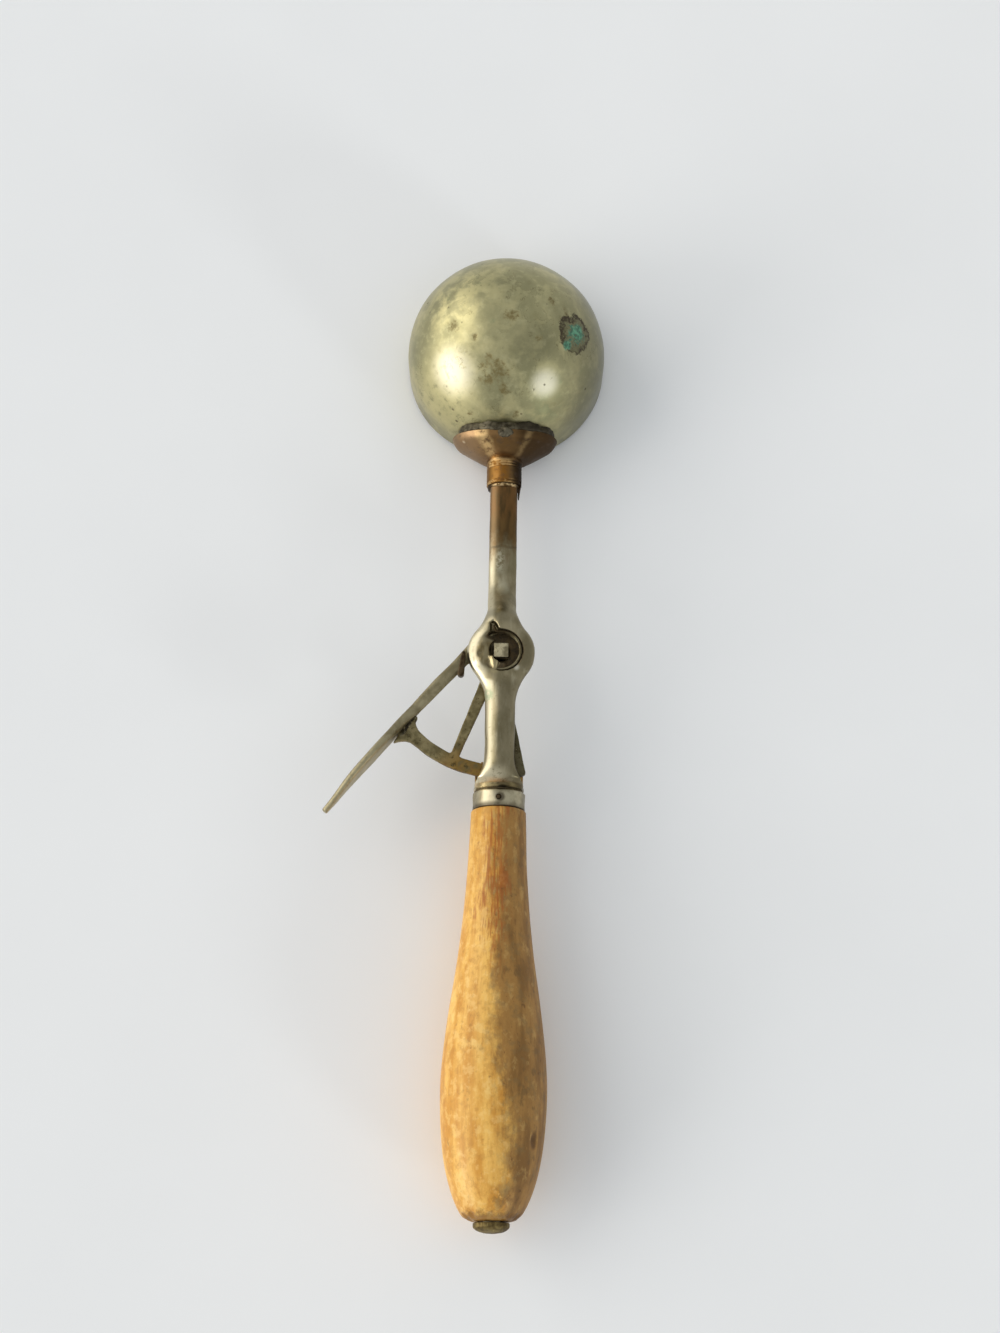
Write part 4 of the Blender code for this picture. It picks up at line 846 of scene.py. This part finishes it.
start_at = TAIL_AT - tau * SPRING_TURNS
lean = SPRING_BEND / (COIL_R - SPRING_BEND)
inward = start_at - asin(lean)
corner_r = sqrt((COIL_R - SPRING_BEND) ** 2 - SPRING_BEND ** 2)
route = [(STUD_SQUARE / sqrt(2) + SEAT_GAP + WIRE_R, inward, SPRING_LOW), (corner_r, inward, SPRING_LOW),
         (COIL_R - 0.35 * SPRING_BEND, start_at - 0.45 * asin(lean), SPRING_LOW)]
curl_points = 84
last_bend = radians(9)
for i in range(curl_points + 1):
    share = i / curl_points
    turn = start_at + (TAIL_AT - last_bend - start_at) * share
    route.append((COIL_R, turn, SPRING_LOW + (SPRING_TOP - SPRING_LOW) * share))
route += [(COIL_R + 0.35 * SPRING_BEND, TAIL_AT - 0.03, SPRING_TOP),
          (COIL_R + SPRING_BEND, TAIL_AT, SPRING_TOP), (SPRING_TAIL_R, TAIL_AT, SPRING_TOP)]
curve = bpy.data.curves.new("spring_wire", "CURVE")
curve.dimensions = "3D"
curve.bevel_depth = WIRE_R
curve.bevel_resolution = 4
curve.use_fill_caps = True
line = curve.splines.new("POLY")
line.points.add(len(route) - 1)
for spot, (radius, turn, height) in zip(line.points, route):
    spot.co = (radius * cos(turn), radius * sin(turn), height, 1)
spring = faced_out(taken_off(placed("work", curve)))

spring_steel, place = new_finish("dark_spring_steel")
rust = place.cloud(1.2, 41)
colour = rust.band(0.4, 0.62).mix((92, 82, 58), (132, 124, 98)).under(
    (rust.band(0.6, 0.7) * 0.7, (88, 52, 26)),
    (place[1].band(3.6, 5.4) * 0.9, (50, 38, 22)))
lay_on(spring_steel, colour, 0.35 + rust * 0.25, 0.95, rust, 0.05)
add_piece("coiled_return_spring", spring, "handle", ["return_spring"], spring_steel, 50)


# Thumb lever
# A nickel-plated casting: a flat hub that turns on the pivot stud, a stiff arm and a thin pad,
# leaning and bent down a little at its tip. The plating is dull, with dark edges.

SECTOR_T = 1.8
SECTOR_Z = span("gear_sector")[1].z - SECTOR_T
HUB_Z = SECTOR_Z + SECTOR_T
LEVER_ANGLE = radians(39.6)
LEVER_LEN = 66
LEVER_BOW = 0.45
LEVER_DROOP = 0.5
ARM_T_ROOT = 4.1
ARM_T_BRAZE = 2.5
PAD_T_TIP = 1.7
BRAZE_AT = 30
PAD_START = 27
PAD_HALF = 7
PAD_BLUNT = 1.6
PAD_LEAN = tan(radians(6))
PAD_LEAN_LEN = 12


def lever_place(along, off, z):
    """A place by its distance along the lever and its distance from the pivot, square to the lever."""
    ahead = Vector((-sin(LEVER_ANGLE), -cos(LEVER_ANGLE), 0))
    outward = Vector((-cos(LEVER_ANGLE), sin(LEVER_ANGLE), 0))
    return ahead * along + outward * off + Vector((0, 0, z))


def lever_thickness(along):
    """Thickness of the arm, tapering to the braze, and of the pad, thinner still at its tip."""
    if along < BRAZE_AT:
        return ARM_T_ROOT + (ARM_T_BRAZE - ARM_T_ROOT) * along / BRAZE_AT
    share = (along - BRAZE_AT) / (LEVER_LEN - BRAZE_AT)
    return ARM_T_BRAZE + (PAD_T_TIP - ARM_T_BRAZE) * share ** 0.7


def lever_half_depth(along):
    """Half the lever's depth from front to back: even on the arm, swelling on the pad."""
    arm = SECTOR_T / 2 - 0.1
    if along < PAD_START:
        return arm
    share = (along - PAD_START) / (LEVER_LEN + PAD_BLUNT - PAD_START)
    return arm + (PAD_HALF - arm) * sin(pi * share) ** 1.1


def lever_section(along, count=48):
    """A rounded oblong across the lever, bowed out along the arm and drooping at the tip."""
    bow = LEVER_BOW * smooth(along, HUB_R, 2 * HUB_R) * (1 - smooth(along, LEVER_LEN * 0.7, LEVER_LEN))
    thickness = lever_thickness(along) + bow
    depth = lever_half_depth(along)
    droop = LEVER_DROOP * smooth(along, LEVER_LEN * 0.8, LEVER_LEN)
    middle_off = HUB_R + bow - droop - thickness / 2
    leaning = PAD_LEAN * smooth(along, PAD_START, PAD_START + PAD_LEAN_LEN)
    section = []
    for i in range(count):
        angle = tau * (i + 0.5) / count
        across, up = cos(angle), sin(angle)
        rise = depth * squared(up, 4)
        off = middle_off + thickness / 2 * squared(across, 4) - rise * leaning
        section.append(lever_place(along, off, SECTOR_Z + SECTOR_T / 2 + rise))
    return section


lever = drawn_through([lever_section(LEVER_LEN * i / 88) for i in range(89)])
lever = combined(lever, [peg(HUB_R, SECTOR_Z, HUB_Z, (0, 0, 1), 96, bore=1)], "UNION")
lever = combined(lever, [peg(STUD_R + SEAT_GAP, SECTOR_Z - 1, HUB_Z + 1, (0, 0, 1))], "DIFFERENCE")
lever = uneven(cast(lever, 0.28, 3), 0.08, 6, 4.4)

lever_nickel, place = new_finish("dull_lever_nickel")
broad = place.cloud(6, 51, warp=0.8)
fleck = place.cloud(1, 52, rough=0.65)
pad = place[0].band(-27, -38) * fleck.band(0.3, 0.5)
edge = place.node("NewGeometry", {}, {}, "Pointiness").band(0.5, 0.56)
colour = broad.band(0.38, 0.62).mix((128, 118, 90), (160, 150, 120)).under(
    (fleck.band(0.58, 0.7) * 0.45, (96, 84, 52)),
    (fleck.band(0.4, 0.3) * 0.35, (196, 186, 150)),
    (pad * 0.4, (204, 194, 160)),
    (edge * 0.5, (88, 72, 40)))
rough = 0.38 + broad * 0.14 + fleck * 0.08
lay_on(lever_nickel, colour, rough, 1 - fleck.band(0.58, 0.7) * 0.3, broad * 0.4 + fleck * 0.4, 0.06)
add_piece("thumb_lever_casting", lever, "lever", ["thumb_lever"], lever_nickel, None)


# Gear sector
# A bare brass casting with nine teeth on its back, brazed to the lever's arm at its outer end and
# carried on the hub by two spokes. It is brown and rusty at the foot of the spokes.


def copied(node):
    """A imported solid's shape in the tool's frame, merged into one mesh."""
    bm = bmesh.new()
    bm.from_mesh(frame["nodes"][node].data)
    bmesh.ops.transform(bm, matrix=OUT_OF_PLACE, verts=bm.verts[:])
    bmesh.ops.remove_doubles(bm, verts=bm.verts[:], dist=0.002)
    return bm


sector = uneven(cast(copied("gear_sector"), 0.2, 4), 0.09, 3, 6.2)
sector_brass, place = new_finish("brown_sector_brass")
broad = place.cloud(3.4, 61)
fleck = place.cloud(1.1, 62, detail=5, rough=0.7)
golden = place.away((-7.5, -36.5, 8.5)).band(14, 5) * broad.band(0.3, 0.5)
rust = (golden + 0.25) * fleck.band(0.56, 0.68)
# Darker towards the right spoke, as painted shade.
colour = broad.band(0.38, 0.62).mix((108, 98, 68), (146, 134, 98)).under(
    (golden * 0.75, (140, 106, 46)),
    (place[0].band(1, 4) * 0.7, (74, 70, 54)),
    (rust * 0.7, (104, 62, 26)),
    (fleck.band(0.48, 0.36) * 0.8, (62, 50, 26)),
    (fleck.band(0.36, 0.28) * 0.5, (214, 204, 168)))
lay_on(sector_brass, colour, 0.4 + fleck * 0.25, 1 - rust * 0.6, broad * 0.4 + fleck * 0.6, 0.1)
add_piece("toothed_sector", sector, "lever", ["gear_sector"], sector_brass, None)

BRAZE_HALF = 4.7
BRAZE_TAPER = 0.45

braze = blob((1.25, BRAZE_HALF, 1.1), 5)
for vert in braze.verts:
    vert.co.x *= 1 - BRAZE_TAPER * smooth(vert.co.y, 0.5, -BRAZE_HALF)
braze = swung(uneven(braze, 0.28, 1.3, 9), -LEVER_ANGLE, "Z")
moved(braze, lever_place(BRAZE_AT + 3.6, HUB_R - ARM_T_BRAZE - 0.4, (SECTOR_Z + HUB_Z) / 2))
braze_dark, place = new_finish("dark_braze")
lump = place.cloud(1, 65)
dark = place.away(tuple(lever_place(BRAZE_AT + 2.6, HUB_R - ARM_T_BRAZE - 1.6, HUB_Z))).band(4.6, 2)
colour = lump.band(0.4, 0.6).mix((110, 102, 76), (146, 136, 106)).under(
    (dark * lump.band(0.66, 0.5), (40, 33, 20)))
lay_on(braze_dark, colour, 0.45, 0.8, lump, 0.12)
add_piece("sector_braze", braze, "lever", [], braze_dark, None)


# Lever's small steel and brass
# The pivot stud with its square end and flat head, the washer under the hub, and the dark stop
# lug that stands beside the eye: turned or filed stock with its edges broken.


def break_edges(bm, steepness, reach, segments):
    """Round off the edges where faces meet at more than so many degrees."""
    steep = [edge for edge in bm.edges if edge.calc_face_angle(0) > radians(steepness)]
    bmesh.ops.bevel(bm, geom=steep, offset=reach, offset_type="OFFSET", affect="EDGES",
                    segments=segments, profile=0.5, material=-1, clamp_overlap=True)
    return bm


def worn_copy(node, reach):
    """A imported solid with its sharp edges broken."""
    bm = copied(node)
    bmesh.ops.dissolve_limit(bm, angle_limit=radians(1), verts=bm.verts[:], edges=bm.edges[:])
    return break_edges(bm, 38, reach, 2)


def small_metal(name, metal, seed, metallic=1):
    """Handled metal: brighter where it is rubbed, with specks of old grime."""
    dull, bright, grime = metal
    finish, place = new_finish(name)
    broad = place.cloud(2.6, seed, warp=0.6)
    fleck = place.cloud(0.7, seed + 0.5, rough=0.65)
    dirty = fleck.band(0.56, 0.68)
    lay_on(finish, broad.band(0.38, 0.62).mix(dull, bright).under((dirty * 0.7, grime)),
           0.34 + broad * 0.14 + dirty * 0.2, metallic - dirty * 0.4, broad * 0.3 + fleck * 0.4, 0.05)
    return finish


STEEL = ((128, 118, 92), (196, 184, 150), (74, 56, 30))
BRASS = ((132, 100, 50), (196, 156, 88), (74, 54, 28))
DARK = ((54, 42, 28), (88, 74, 54), (60, 34, 18))

small_lever_metal = (
    ("square_pivot_stud", "pivot_stud", "stud_steel", 0.22, STEEL),
    ("hub_back_washer", "hub_washer", "washer_brass", 0.12, BRASS),
)
for seed, (name, node, slot, edge, metal) in enumerate(small_lever_metal):
    finish = small_metal(name + "_finish", metal, 70 + seed)
    add_piece(name, worn_copy(node, edge), "lever", [node], finish)

lug_low, lug_high = span("stop_lug")
LUG_TOP_R = 0.55
LUG_FOOT_R = 0.95
outline = arc((lug_high.x - LUG_TOP_R, lug_high.y - 0.3 - LUG_TOP_R), LUG_TOP_R, 5, 185, 12)
outline += arc((lug_low.x + 0.1 + LUG_FOOT_R, lug_low.y + 0.2 + LUG_FOOT_R), LUG_FOOT_R, 185, 365, 16)
lug = bmesh.new()
face = lug.faces.new([lug.verts.new((x, y, lug_low.z)) for x, y in outline])
grown = bmesh.ops.extrude_face_region(lug, geom=[face])["geom"]
lifted = [item for item in grown if isinstance(item, bmesh.types.BMVert)]
bmesh.ops.translate(lug, verts=lifted, vec=(0, 0, lug_high.z - lug_low.z))
break_edges(faced_out(lug), 60, 0.3, 3)
lug_finish = small_metal("dark_lug_finish", DARK, 79)
add_piece("lever_stop_lug", lug, "lever", ["stop_lug"], lug_finish)


# Shaft train
# The steel shaft that runs up through the shank, the brass collar and its pin that keep it from
# sliding, the twelve-toothed brass pinion with its pin, the nut that holds the wiper, and the
# rivet in the bowl that carries the wiper's far end.

shaft_train = (
    ("wiper_shaft", "shaft", "shaft_steel", 0.15, STEEL),
    ("shaft_collar", "thrust_collar", "collar_brass", 0.2, BRASS),
    ("shaft_collar_pin", "collar_pin", "collar_pin_steel", 0.1, STEEL),
    ("drive_pinion", "pinion", "pinion_brass", 0.14, BRASS),
    ("drive_pinion_pin", "pinion_pin", "pinion_pin_steel", 0.12, STEEL),
    ("wiper_holding_nut", "wiper_nut", "nut_brass", 0.15, BRASS),
)
for seed, (name, node, slot, edge, metal) in enumerate(shaft_train):
    finish = small_metal(name + "_finish", metal, 80 + seed)
    add_piece(name, worn_copy(node, edge), "scraper", [node], finish)
rivet_finish = small_metal("far_rivet_finish", BRASS, 89)
add_piece("far_bowl_rivet", worn_copy("far_rivet", 0.12), "handle", ["far_rivet"],
          rivet_finish)


# Wiper
# A springy steel band bent to the bowl's inside, widest in the middle, with a round tab at each
# end: one on the shaft's tenon under its nut, one that turns on the far rivet.

WIPER_R = BOWL_R - BOWL_WALL - 0.4
WIPER_T = 0.7
WIPER_HALF = 4.4
TAB_HALF = 2.3
WIPER_REST = radians(10)

band = bmesh.new()
bmesh.ops.create_grid(band, x_segments=120, y_segments=12, size=1)
turn_most = pi / 2 + asin(TAB_HALF / WIPER_R)
for vert in band.verts:
    turn = vert.co.x * turn_most
    past = max(abs(turn) - pi / 2, 0) * WIPER_R
    half = TAB_HALF + (WIPER_HALF - TAB_HALF) * max(cos(turn), 0) ** 0.8
    half = sqrt(max(half ** 2 - past ** 2, 0.01))
    z = vert.co.y * half
    flat_r = sqrt(WIPER_R ** 2 - z ** 2)
    vert.co = (-flat_r * cos(turn), flat_r * sin(turn), z)
# The band is still an open sheet, so its outer side is found before it gets its thickness.
faced_out(band)
outward = sum(face.normal.dot(face.calc_center_median()) for face in band.faces)
if outward < 0:
    bmesh.ops.reverse_faces(band, faces=band.faces[:])
bmesh.ops.solidify(band, geom=band.faces[:], thickness=WIPER_T)
ways = [peg(TENON_WAY_R, BOWL_Y - BOWL_R, BOWL_Y - 10), peg(RIVET_WAY_R, BOWL_Y + 10, BOWL_Y + BOWL_R)]
band = combined(moved(swung(band, WIPER_REST, "Y"), (0, BOWL_Y, 0)), ways, "DIFFERENCE")
wiper_finish = small_metal("wiper_band_finish", ((140, 134, 112), (194, 186, 160), (92, 76, 46)), 95)
add_piece("wiper_band", band, "scraper", ["wiper"], wiper_finish, 50)


# Ferrule
# A short drawn cap of nickel-plated brass over the handle's neck, dented by years of knocks, and
# held by one small nail in the front, whose head has gone dark. Old dirt is packed between it
# and the frame's foot.

FERRULE_R = 7.25
FERRULE_TOP = FOOT_END - SEAT_GAP
FERRULE_LEN = 4.9
FERRULE_END = FERRULE_TOP - FERRULE_LEN
FERRULE_WALL = 0.55
NAIL_R = 0.6

packed = peg(FOOT_R - 0.1, FOOT_END, FERRULE_TOP, steps=96, bore=BOSS_R + 0.5)
packed_dirt = small_metal("packed_dirt_finish", ((84, 70, 44), (112, 98, 66), DARK[2]), 108, 0.4)
add_piece("dirt_under_foot", packed, "handle", [], packed_dirt)

inner = FERRULE_R - FERRULE_WALL
outline = [(BOSS_R + SEAT_GAP, FERRULE_TOP)]
outline += arc((FERRULE_R - 0.4, FERRULE_TOP - 0.4), 0.4, 90, 0, 6)
outline += [(FERRULE_R, FERRULE_TOP - 0.4 - 0.3 * i) for i in range(1, 14)]
outline += [(FERRULE_R, FERRULE_END + 0.15), (FERRULE_R - 0.15, FERRULE_END), (inner, FERRULE_END)]
outline += [(inner, FERRULE_TOP - FERRULE_WALL), (BOSS_R + SEAT_GAP, FERRULE_TOP - FERRULE_WALL)]
ferrule = uneven(turned(outline, 128), 0.28, 3.2, 12.5)
nail_y = (FERRULE_TOP + FERRULE_END) / 2
nail_way = moved(peg(NAIL_R + 0.2, 4, FERRULE_R + 1, (0, 0, 1), 24), (0, nail_y, 0))
ferrule = combined(ferrule, [nail_way], "DIFFERENCE")

ferrule_nickel, place = new_finish("dented_ferrule_nickel")
broad = place.cloud(3.4, 101)
fleck = place.cloud(1, 102, rough=0.65)
# Painted shade: darker towards the ferrule's lower end, more on its left. The spot round the nail is its
# darkened head.
low = place[1].band(FERRULE_END + 1.9, FERRULE_END + 0.4) * (0.3 + place[0].band(1.5, -0.5) * 0.45)
low = low.top(place[1].band(FERRULE_END + 0.8, FERRULE_END) * 0.8)
dark = low.top(place.away((0.4, nail_y, 7.1)).band(1.7, 0.9) * 0.8)
# Painted highlight: a pale strip left of the ferrule's middle.
colour = broad.band(0.38, 0.6).mix((148, 138, 112), (182, 172, 144)).under(
    (place[0].strip(-6.5, -4.5, -2.5, 1) * 0.6, (226, 214, 182)),
    (fleck.band(0.6, 0.72) * 0.5, (84, 68, 42)),
    (dark, (62, 50, 32)))
lay_on(ferrule_nickel, colour, 0.28 + fleck * 0.16, 1 - dark * 0.4, broad * 0.8 + fleck * 0.2, 0.12)
add_piece("dented_ferrule", ferrule, "handle", ["ferrule"], ferrule_nickel)
nail_finish = small_metal("nail_finish", DARK, 105)
add_piece("ferrule_pin_nail", worn_copy("ferrule_nail", 0.12), "handle", ["ferrule_nail"],
          nail_finish)


# Grip
# Turned maple, slim under the ferrule and full in the hand, its old varnish honey yellow on one
# side and rubbed grey and dirty down the front and right. A small nick is knocked into the belly.

GRIP_TOP = FERRULE_END - SEAT_GAP
GRIP_NECK_R = 7.7
GRIP_BELLY_R = 14.45
GRIP_BELLY_AT = 77
GRIP_LEN = 112.1
GRIP_END = GRIP_TOP - GRIP_LEN
GRIP_TIP_R = 6.9
GRIP_BLUNT = 2.3
GRIP_CORNER = 4.5
NICK = Vector((10.8, -134.7, 8.3))
NICK_DEEP = 0.6
CHIP_DEEP = 0.9


def grip_radius(down):
    """Radius at a distance below the shoulder: slim neck, swelling belly, blunt round end."""
    if down <= GRIP_BELLY_AT:
        share = down / GRIP_BELLY_AT
        rise = 0.25 * share + 0.75 * (1 - cos(pi * share ** 1.35)) / 2
        return GRIP_NECK_R + (GRIP_BELLY_R - GRIP_NECK_R) * rise
    left = 1 - (GRIP_TIP_R / GRIP_BELLY_R) ** GRIP_BLUNT
    past = (down - GRIP_BELLY_AT) / (GRIP_LEN - GRIP_BELLY_AT)
    return GRIP_BELLY_R * (1 - left * past ** GRIP_BLUNT) ** (1 / GRIP_BLUNT)


seat_top = FERRULE_TOP - FERRULE_WALL - SEAT_GAP
outline = [(BOSS_R + SEAT_GAP, seat_top), (inner - SEAT_GAP, seat_top), (inner - SEAT_GAP, GRIP_TOP)]
outline += [(grip_radius(0) - 0.2, GRIP_TOP), (grip_radius(0), GRIP_TOP - 0.3)]
turned_len = GRIP_LEN - GRIP_CORNER * 0.5
outline += [(grip_radius(turned_len * i / 150), GRIP_TOP - turned_len * i / 150) for i in range(1, 150)]
corner_at = (grip_radius(turned_len) - GRIP_CORNER * cos(radians(30)), GRIP_END + GRIP_CORNER)
outline += arc(corner_at, GRIP_CORNER, -30, -90, 12) + [(ROD_WAY_R, GRIP_END)]
outline += [(ROD_WAY_R, BOSS_END - SEAT_GAP), (BOSS_R + SEAT_GAP, BOSS_END - SEAT_GAP)]
grip = uneven(turned(outline, 160), 0.14, 14, 15.2)
for vert in grip.verts:
    reach = (vert.co - NICK).length
    vert.co -= vert.normal * NICK_DEEP * smooth(reach, 1.8, 0.3)
    chipped = smooth(vert.co.y, GRIP_END + 3.5, GRIP_END + 0.8)
    chipped *= smooth(hypot(vert.co.x, vert.co.z), 4, 6)
    vert.co -= vert.normal * CHIP_DEEP * chipped * max(noise.noise(vert.co / 2.2), 0)
hole = moved(peg(NAIL_R + 0.2, 4, FERRULE_R, (0, 0, 1), 24), (0, nail_y, 0))
grip = combined(grip, [hole], "DIFFERENCE")

maple, place = new_finish("old_varnished_maple")
long = place.stretched(0.22).cloud(4.2, 111, rough=0.6)
fibre = place.stretched(0.07).cloud(0.7, 112, detail=3, rough=0.6)
wander = place.stretched(0.4).cloud(9, 113, detail=3)
blot = place.stretched(0.7).cloud(2.8, 114, detail=5, rough=0.62)
dab = place.stretched(0.6).cloud(1.3, 115, rough=0.65)
spot = place.cloud(2.2, 116, rough=0.6)
side = place[0] + (wander - 0.5) * 14 + (blot - 0.5) * 12 + (dab - 0.5) * 4
side = side - place[1].band(-104, -128) * 3.6
dirty = side.band(-3, 2.5) * place[2].band(-12, -2)
dirt = long.band(0.4, 0.6).mix((112, 78, 34), (146, 104, 50)).under(
    (blot.band(0.46, 0.34) * 0.7, (92, 68, 34)),
    (blot.band(0.54, 0.66) * 0.55, (178, 140, 80)),
    (spot.band(0.5, 0.64) * 0.5, (96, 72, 38)))
amber = side.strip(-5.5, -2, 0.5, 4.5) * fibre.band(0.4, 0.58) * place[2].band(-2, 4)
amber = amber * place[1].band(-96, -76)
mark = dab.band(0.62, 0.72) * (0.3 + dirty * 0.4)
mark = mark.top(place.stretched(0.5).away((NICK.x, NICK.y * 0.5, NICK.z)).band(1.7, 0.8))
mark = mark.top((place[1] + dab * 1.6).band(GRIP_TOP + 0.6, GRIP_TOP + 1) * 0.6)
low_mark = place.away((1.5, GRIP_END + 6.5, 8.5)).band(4.6, 1) * blot.band(0.44, 0.58)
foot_dirt = (place[1] + (dab - 0.5) * 7).band(GRIP_END + 3, GRIP_END + 0.6)
colour = long.band(0.36, 0.64).mix((204, 144, 56), (232, 182, 92)).under(
    (fibre.band(0.48, 0.66) * 0.24, (174, 116, 46)),
    (blot.band(0.52, 0.66) * 0.5, (238, 198, 116)),
    (blot.band(0.44, 0.32) * 0.5, (186, 126, 46)),
    (dab.band(0.56, 0.7) * 0.35, (178, 128, 58)),
    (spot.band(0.52, 0.64) * 0.35, (242, 204, 128)),
    (spot.band(0.48, 0.36) * 0.35, (176, 122, 52)),
    (dirty * 0.88, dirt),
    (amber * 0.7, (160, 84, 24)),
    (mark.top(low_mark * 0.8).top(foot_dirt * 0.8) * 0.75, (84, 54, 26)))
rough = 0.33 + dirty * 0.14 + blot * 0.12 + mark * 0.15
height = long * 0.3 + fibre * 0.4 + blot * 0.4 - mark * 0.6
lay_on(maple, colour, rough, 0, height, 0.06, 0.32)
add_piece("maple_grip", grip, "handle", ["grip"], maple, 40)


# Tang rod and end cap
# A steel rod runs from the frame's boss through the grip, and its end is closed by a small domed
# brass nut, dull green and brown, that draws the handle tight.

CAP_TOP = GRIP_END - SEAT_GAP
CAP_R = 4.95
CAP_LEN = 2.8
CAP_EDGE = 0.9

outline = [(ROD_WAY_R, CAP_TOP), (CAP_R - 0.15, CAP_TOP), (CAP_R, CAP_TOP - 0.15)]
for i in range(13):
    turn = pi / 2 * i / 12
    outline.append((CAP_R * cos(turn), CAP_TOP - CAP_EDGE - (CAP_LEN - CAP_EDGE) * sin(turn)))
outline[-1] = (0, CAP_TOP - CAP_LEN)
outline += [(0, CAP_TOP - CAP_LEN * 0.6), (ROD_WAY_R, CAP_TOP - CAP_LEN * 0.6)]
cap = uneven(turned(outline, 96), 0.12, 2.2, 18)
cap_brass, place = new_finish("green_cap_brass")
broad = place.cloud(2.4, 121, warp=0.8)
fleck = place.cloud(0.8, 122, rough=0.65)
colour = broad.band(0.38, 0.62).mix((84, 68, 38), (130, 112, 68)).under(
    (fleck.band(0.58, 0.68) * 0.6, (176, 160, 104)),
    (fleck.band(0.42, 0.32) * 0.7, (58, 48, 28)))
lay_on(cap_brass, colour, 0.45 + fleck * 0.2, 0.85, broad * 0.5 + fleck * 0.5, 0.12)
add_piece("domed_end_cap", cap, "handle", ["end_cap"], cap_brass)

rod_finish = small_metal("tang_rod_finish", STEEL, 125)
frame["nodes"]["tang_rod"].data.materials.clear()
frame["nodes"]["tang_rod"].data.materials.append(rod_finish)


# Bench, lights and camera
# A plain pale floor that the scoop lies on, two broad warm lights on the left, a smaller cool one
# at the lower right, and a soft even sky.

FLOOR_HALF = 30
FLOOR_DROP = 0.2 * MM
floor_sheet = bmesh.new()
bmesh.ops.create_grid(floor_sheet, x_segments=1, y_segments=1, size=FLOOR_HALF)
floor = placed("pale_floor", meshed(moved(floor_sheet, (0, 0, -FLOOR_DROP)), "pale_floor"))
pale, place = new_finish("pale_floor_paint")
mottle = place.cloud(60, 131, detail=3)
lay_on(pale, mottle.mix((238, 238, 238), (244, 244, 244)), 0.7, 0, glance=0.1)
floor.data.materials.append(pale)


def add_sun(name, towards, spread, strength, colour):
    """A broad far light that shines from a direction in the tool's frame."""
    lamp = bpy.data.lights.new(name, "SUN")
    lamp.angle = radians(spread)
    lamp.energy = strength
    lamp.color = colour
    from_there = TOOL.to_3x3() @ Vector(towards)
    placed(name, lamp).rotation_euler = from_there.to_track_quat("Z", "Y").to_euler()


add_sun("window_left", (-0.90, -0.39, 0.18), 38, 1.4, (1, 0.975, 0.95))
add_sun("window_left_above", (-0.88, 0.30, 0.36), 64, 1.4, (1, 0.96, 0.88))
add_sun("window_right", (0.71, -0.655, 0.28), 11, 0.42, (0.94, 0.99, 1))
sky = bpy.data.worlds.new("soft_sky")
bpy.context.scene.world = sky
sky.use_nodes = True
sky.node_tree.nodes["Background"].inputs["Color"].default_value = (0.93, 0.97, 1, 1)
sky.node_tree.nodes["Background"].inputs["Strength"].default_value = 0.63

CAMERA_LEAN = radians(17)
CAMERA_ROLL = radians(1)
CAMERA_FAR = 0.737
CAMERA_AIM = Vector((0, -0.0008, 0))
PHOTO_LONG_SIDE = 1333
FOCAL_PIXELS = 2600
MIDDLE_SHIFT = 0.9
SENSOR = 36

backwards = Vector((0, -sin(CAMERA_LEAN), cos(CAMERA_LEAN)))
upwards = Vector((0, cos(CAMERA_LEAN), sin(CAMERA_LEAN)))
rightwards = upwards.cross(backwards)
roll = Matrix.Rotation(CAMERA_ROLL, 3, backwards)
stand = Matrix((roll @ rightwards, roll @ upwards, backwards)).transposed().to_4x4()
stand.translation = CAMERA_AIM + backwards * CAMERA_FAR
camera = placed("camera", bpy.data.cameras.new("camera"))
camera.matrix_world = TOOL @ stand
camera.data.sensor_width = SENSOR
camera.data.lens = FOCAL_PIXELS / PHOTO_LONG_SIDE * SENSOR
camera.data.shift_x = -MIDDLE_SHIFT / PHOTO_LONG_SIDE
bpy.context.scene.camera = camera
bpy.context.scene.view_settings.view_transform = "Standard"
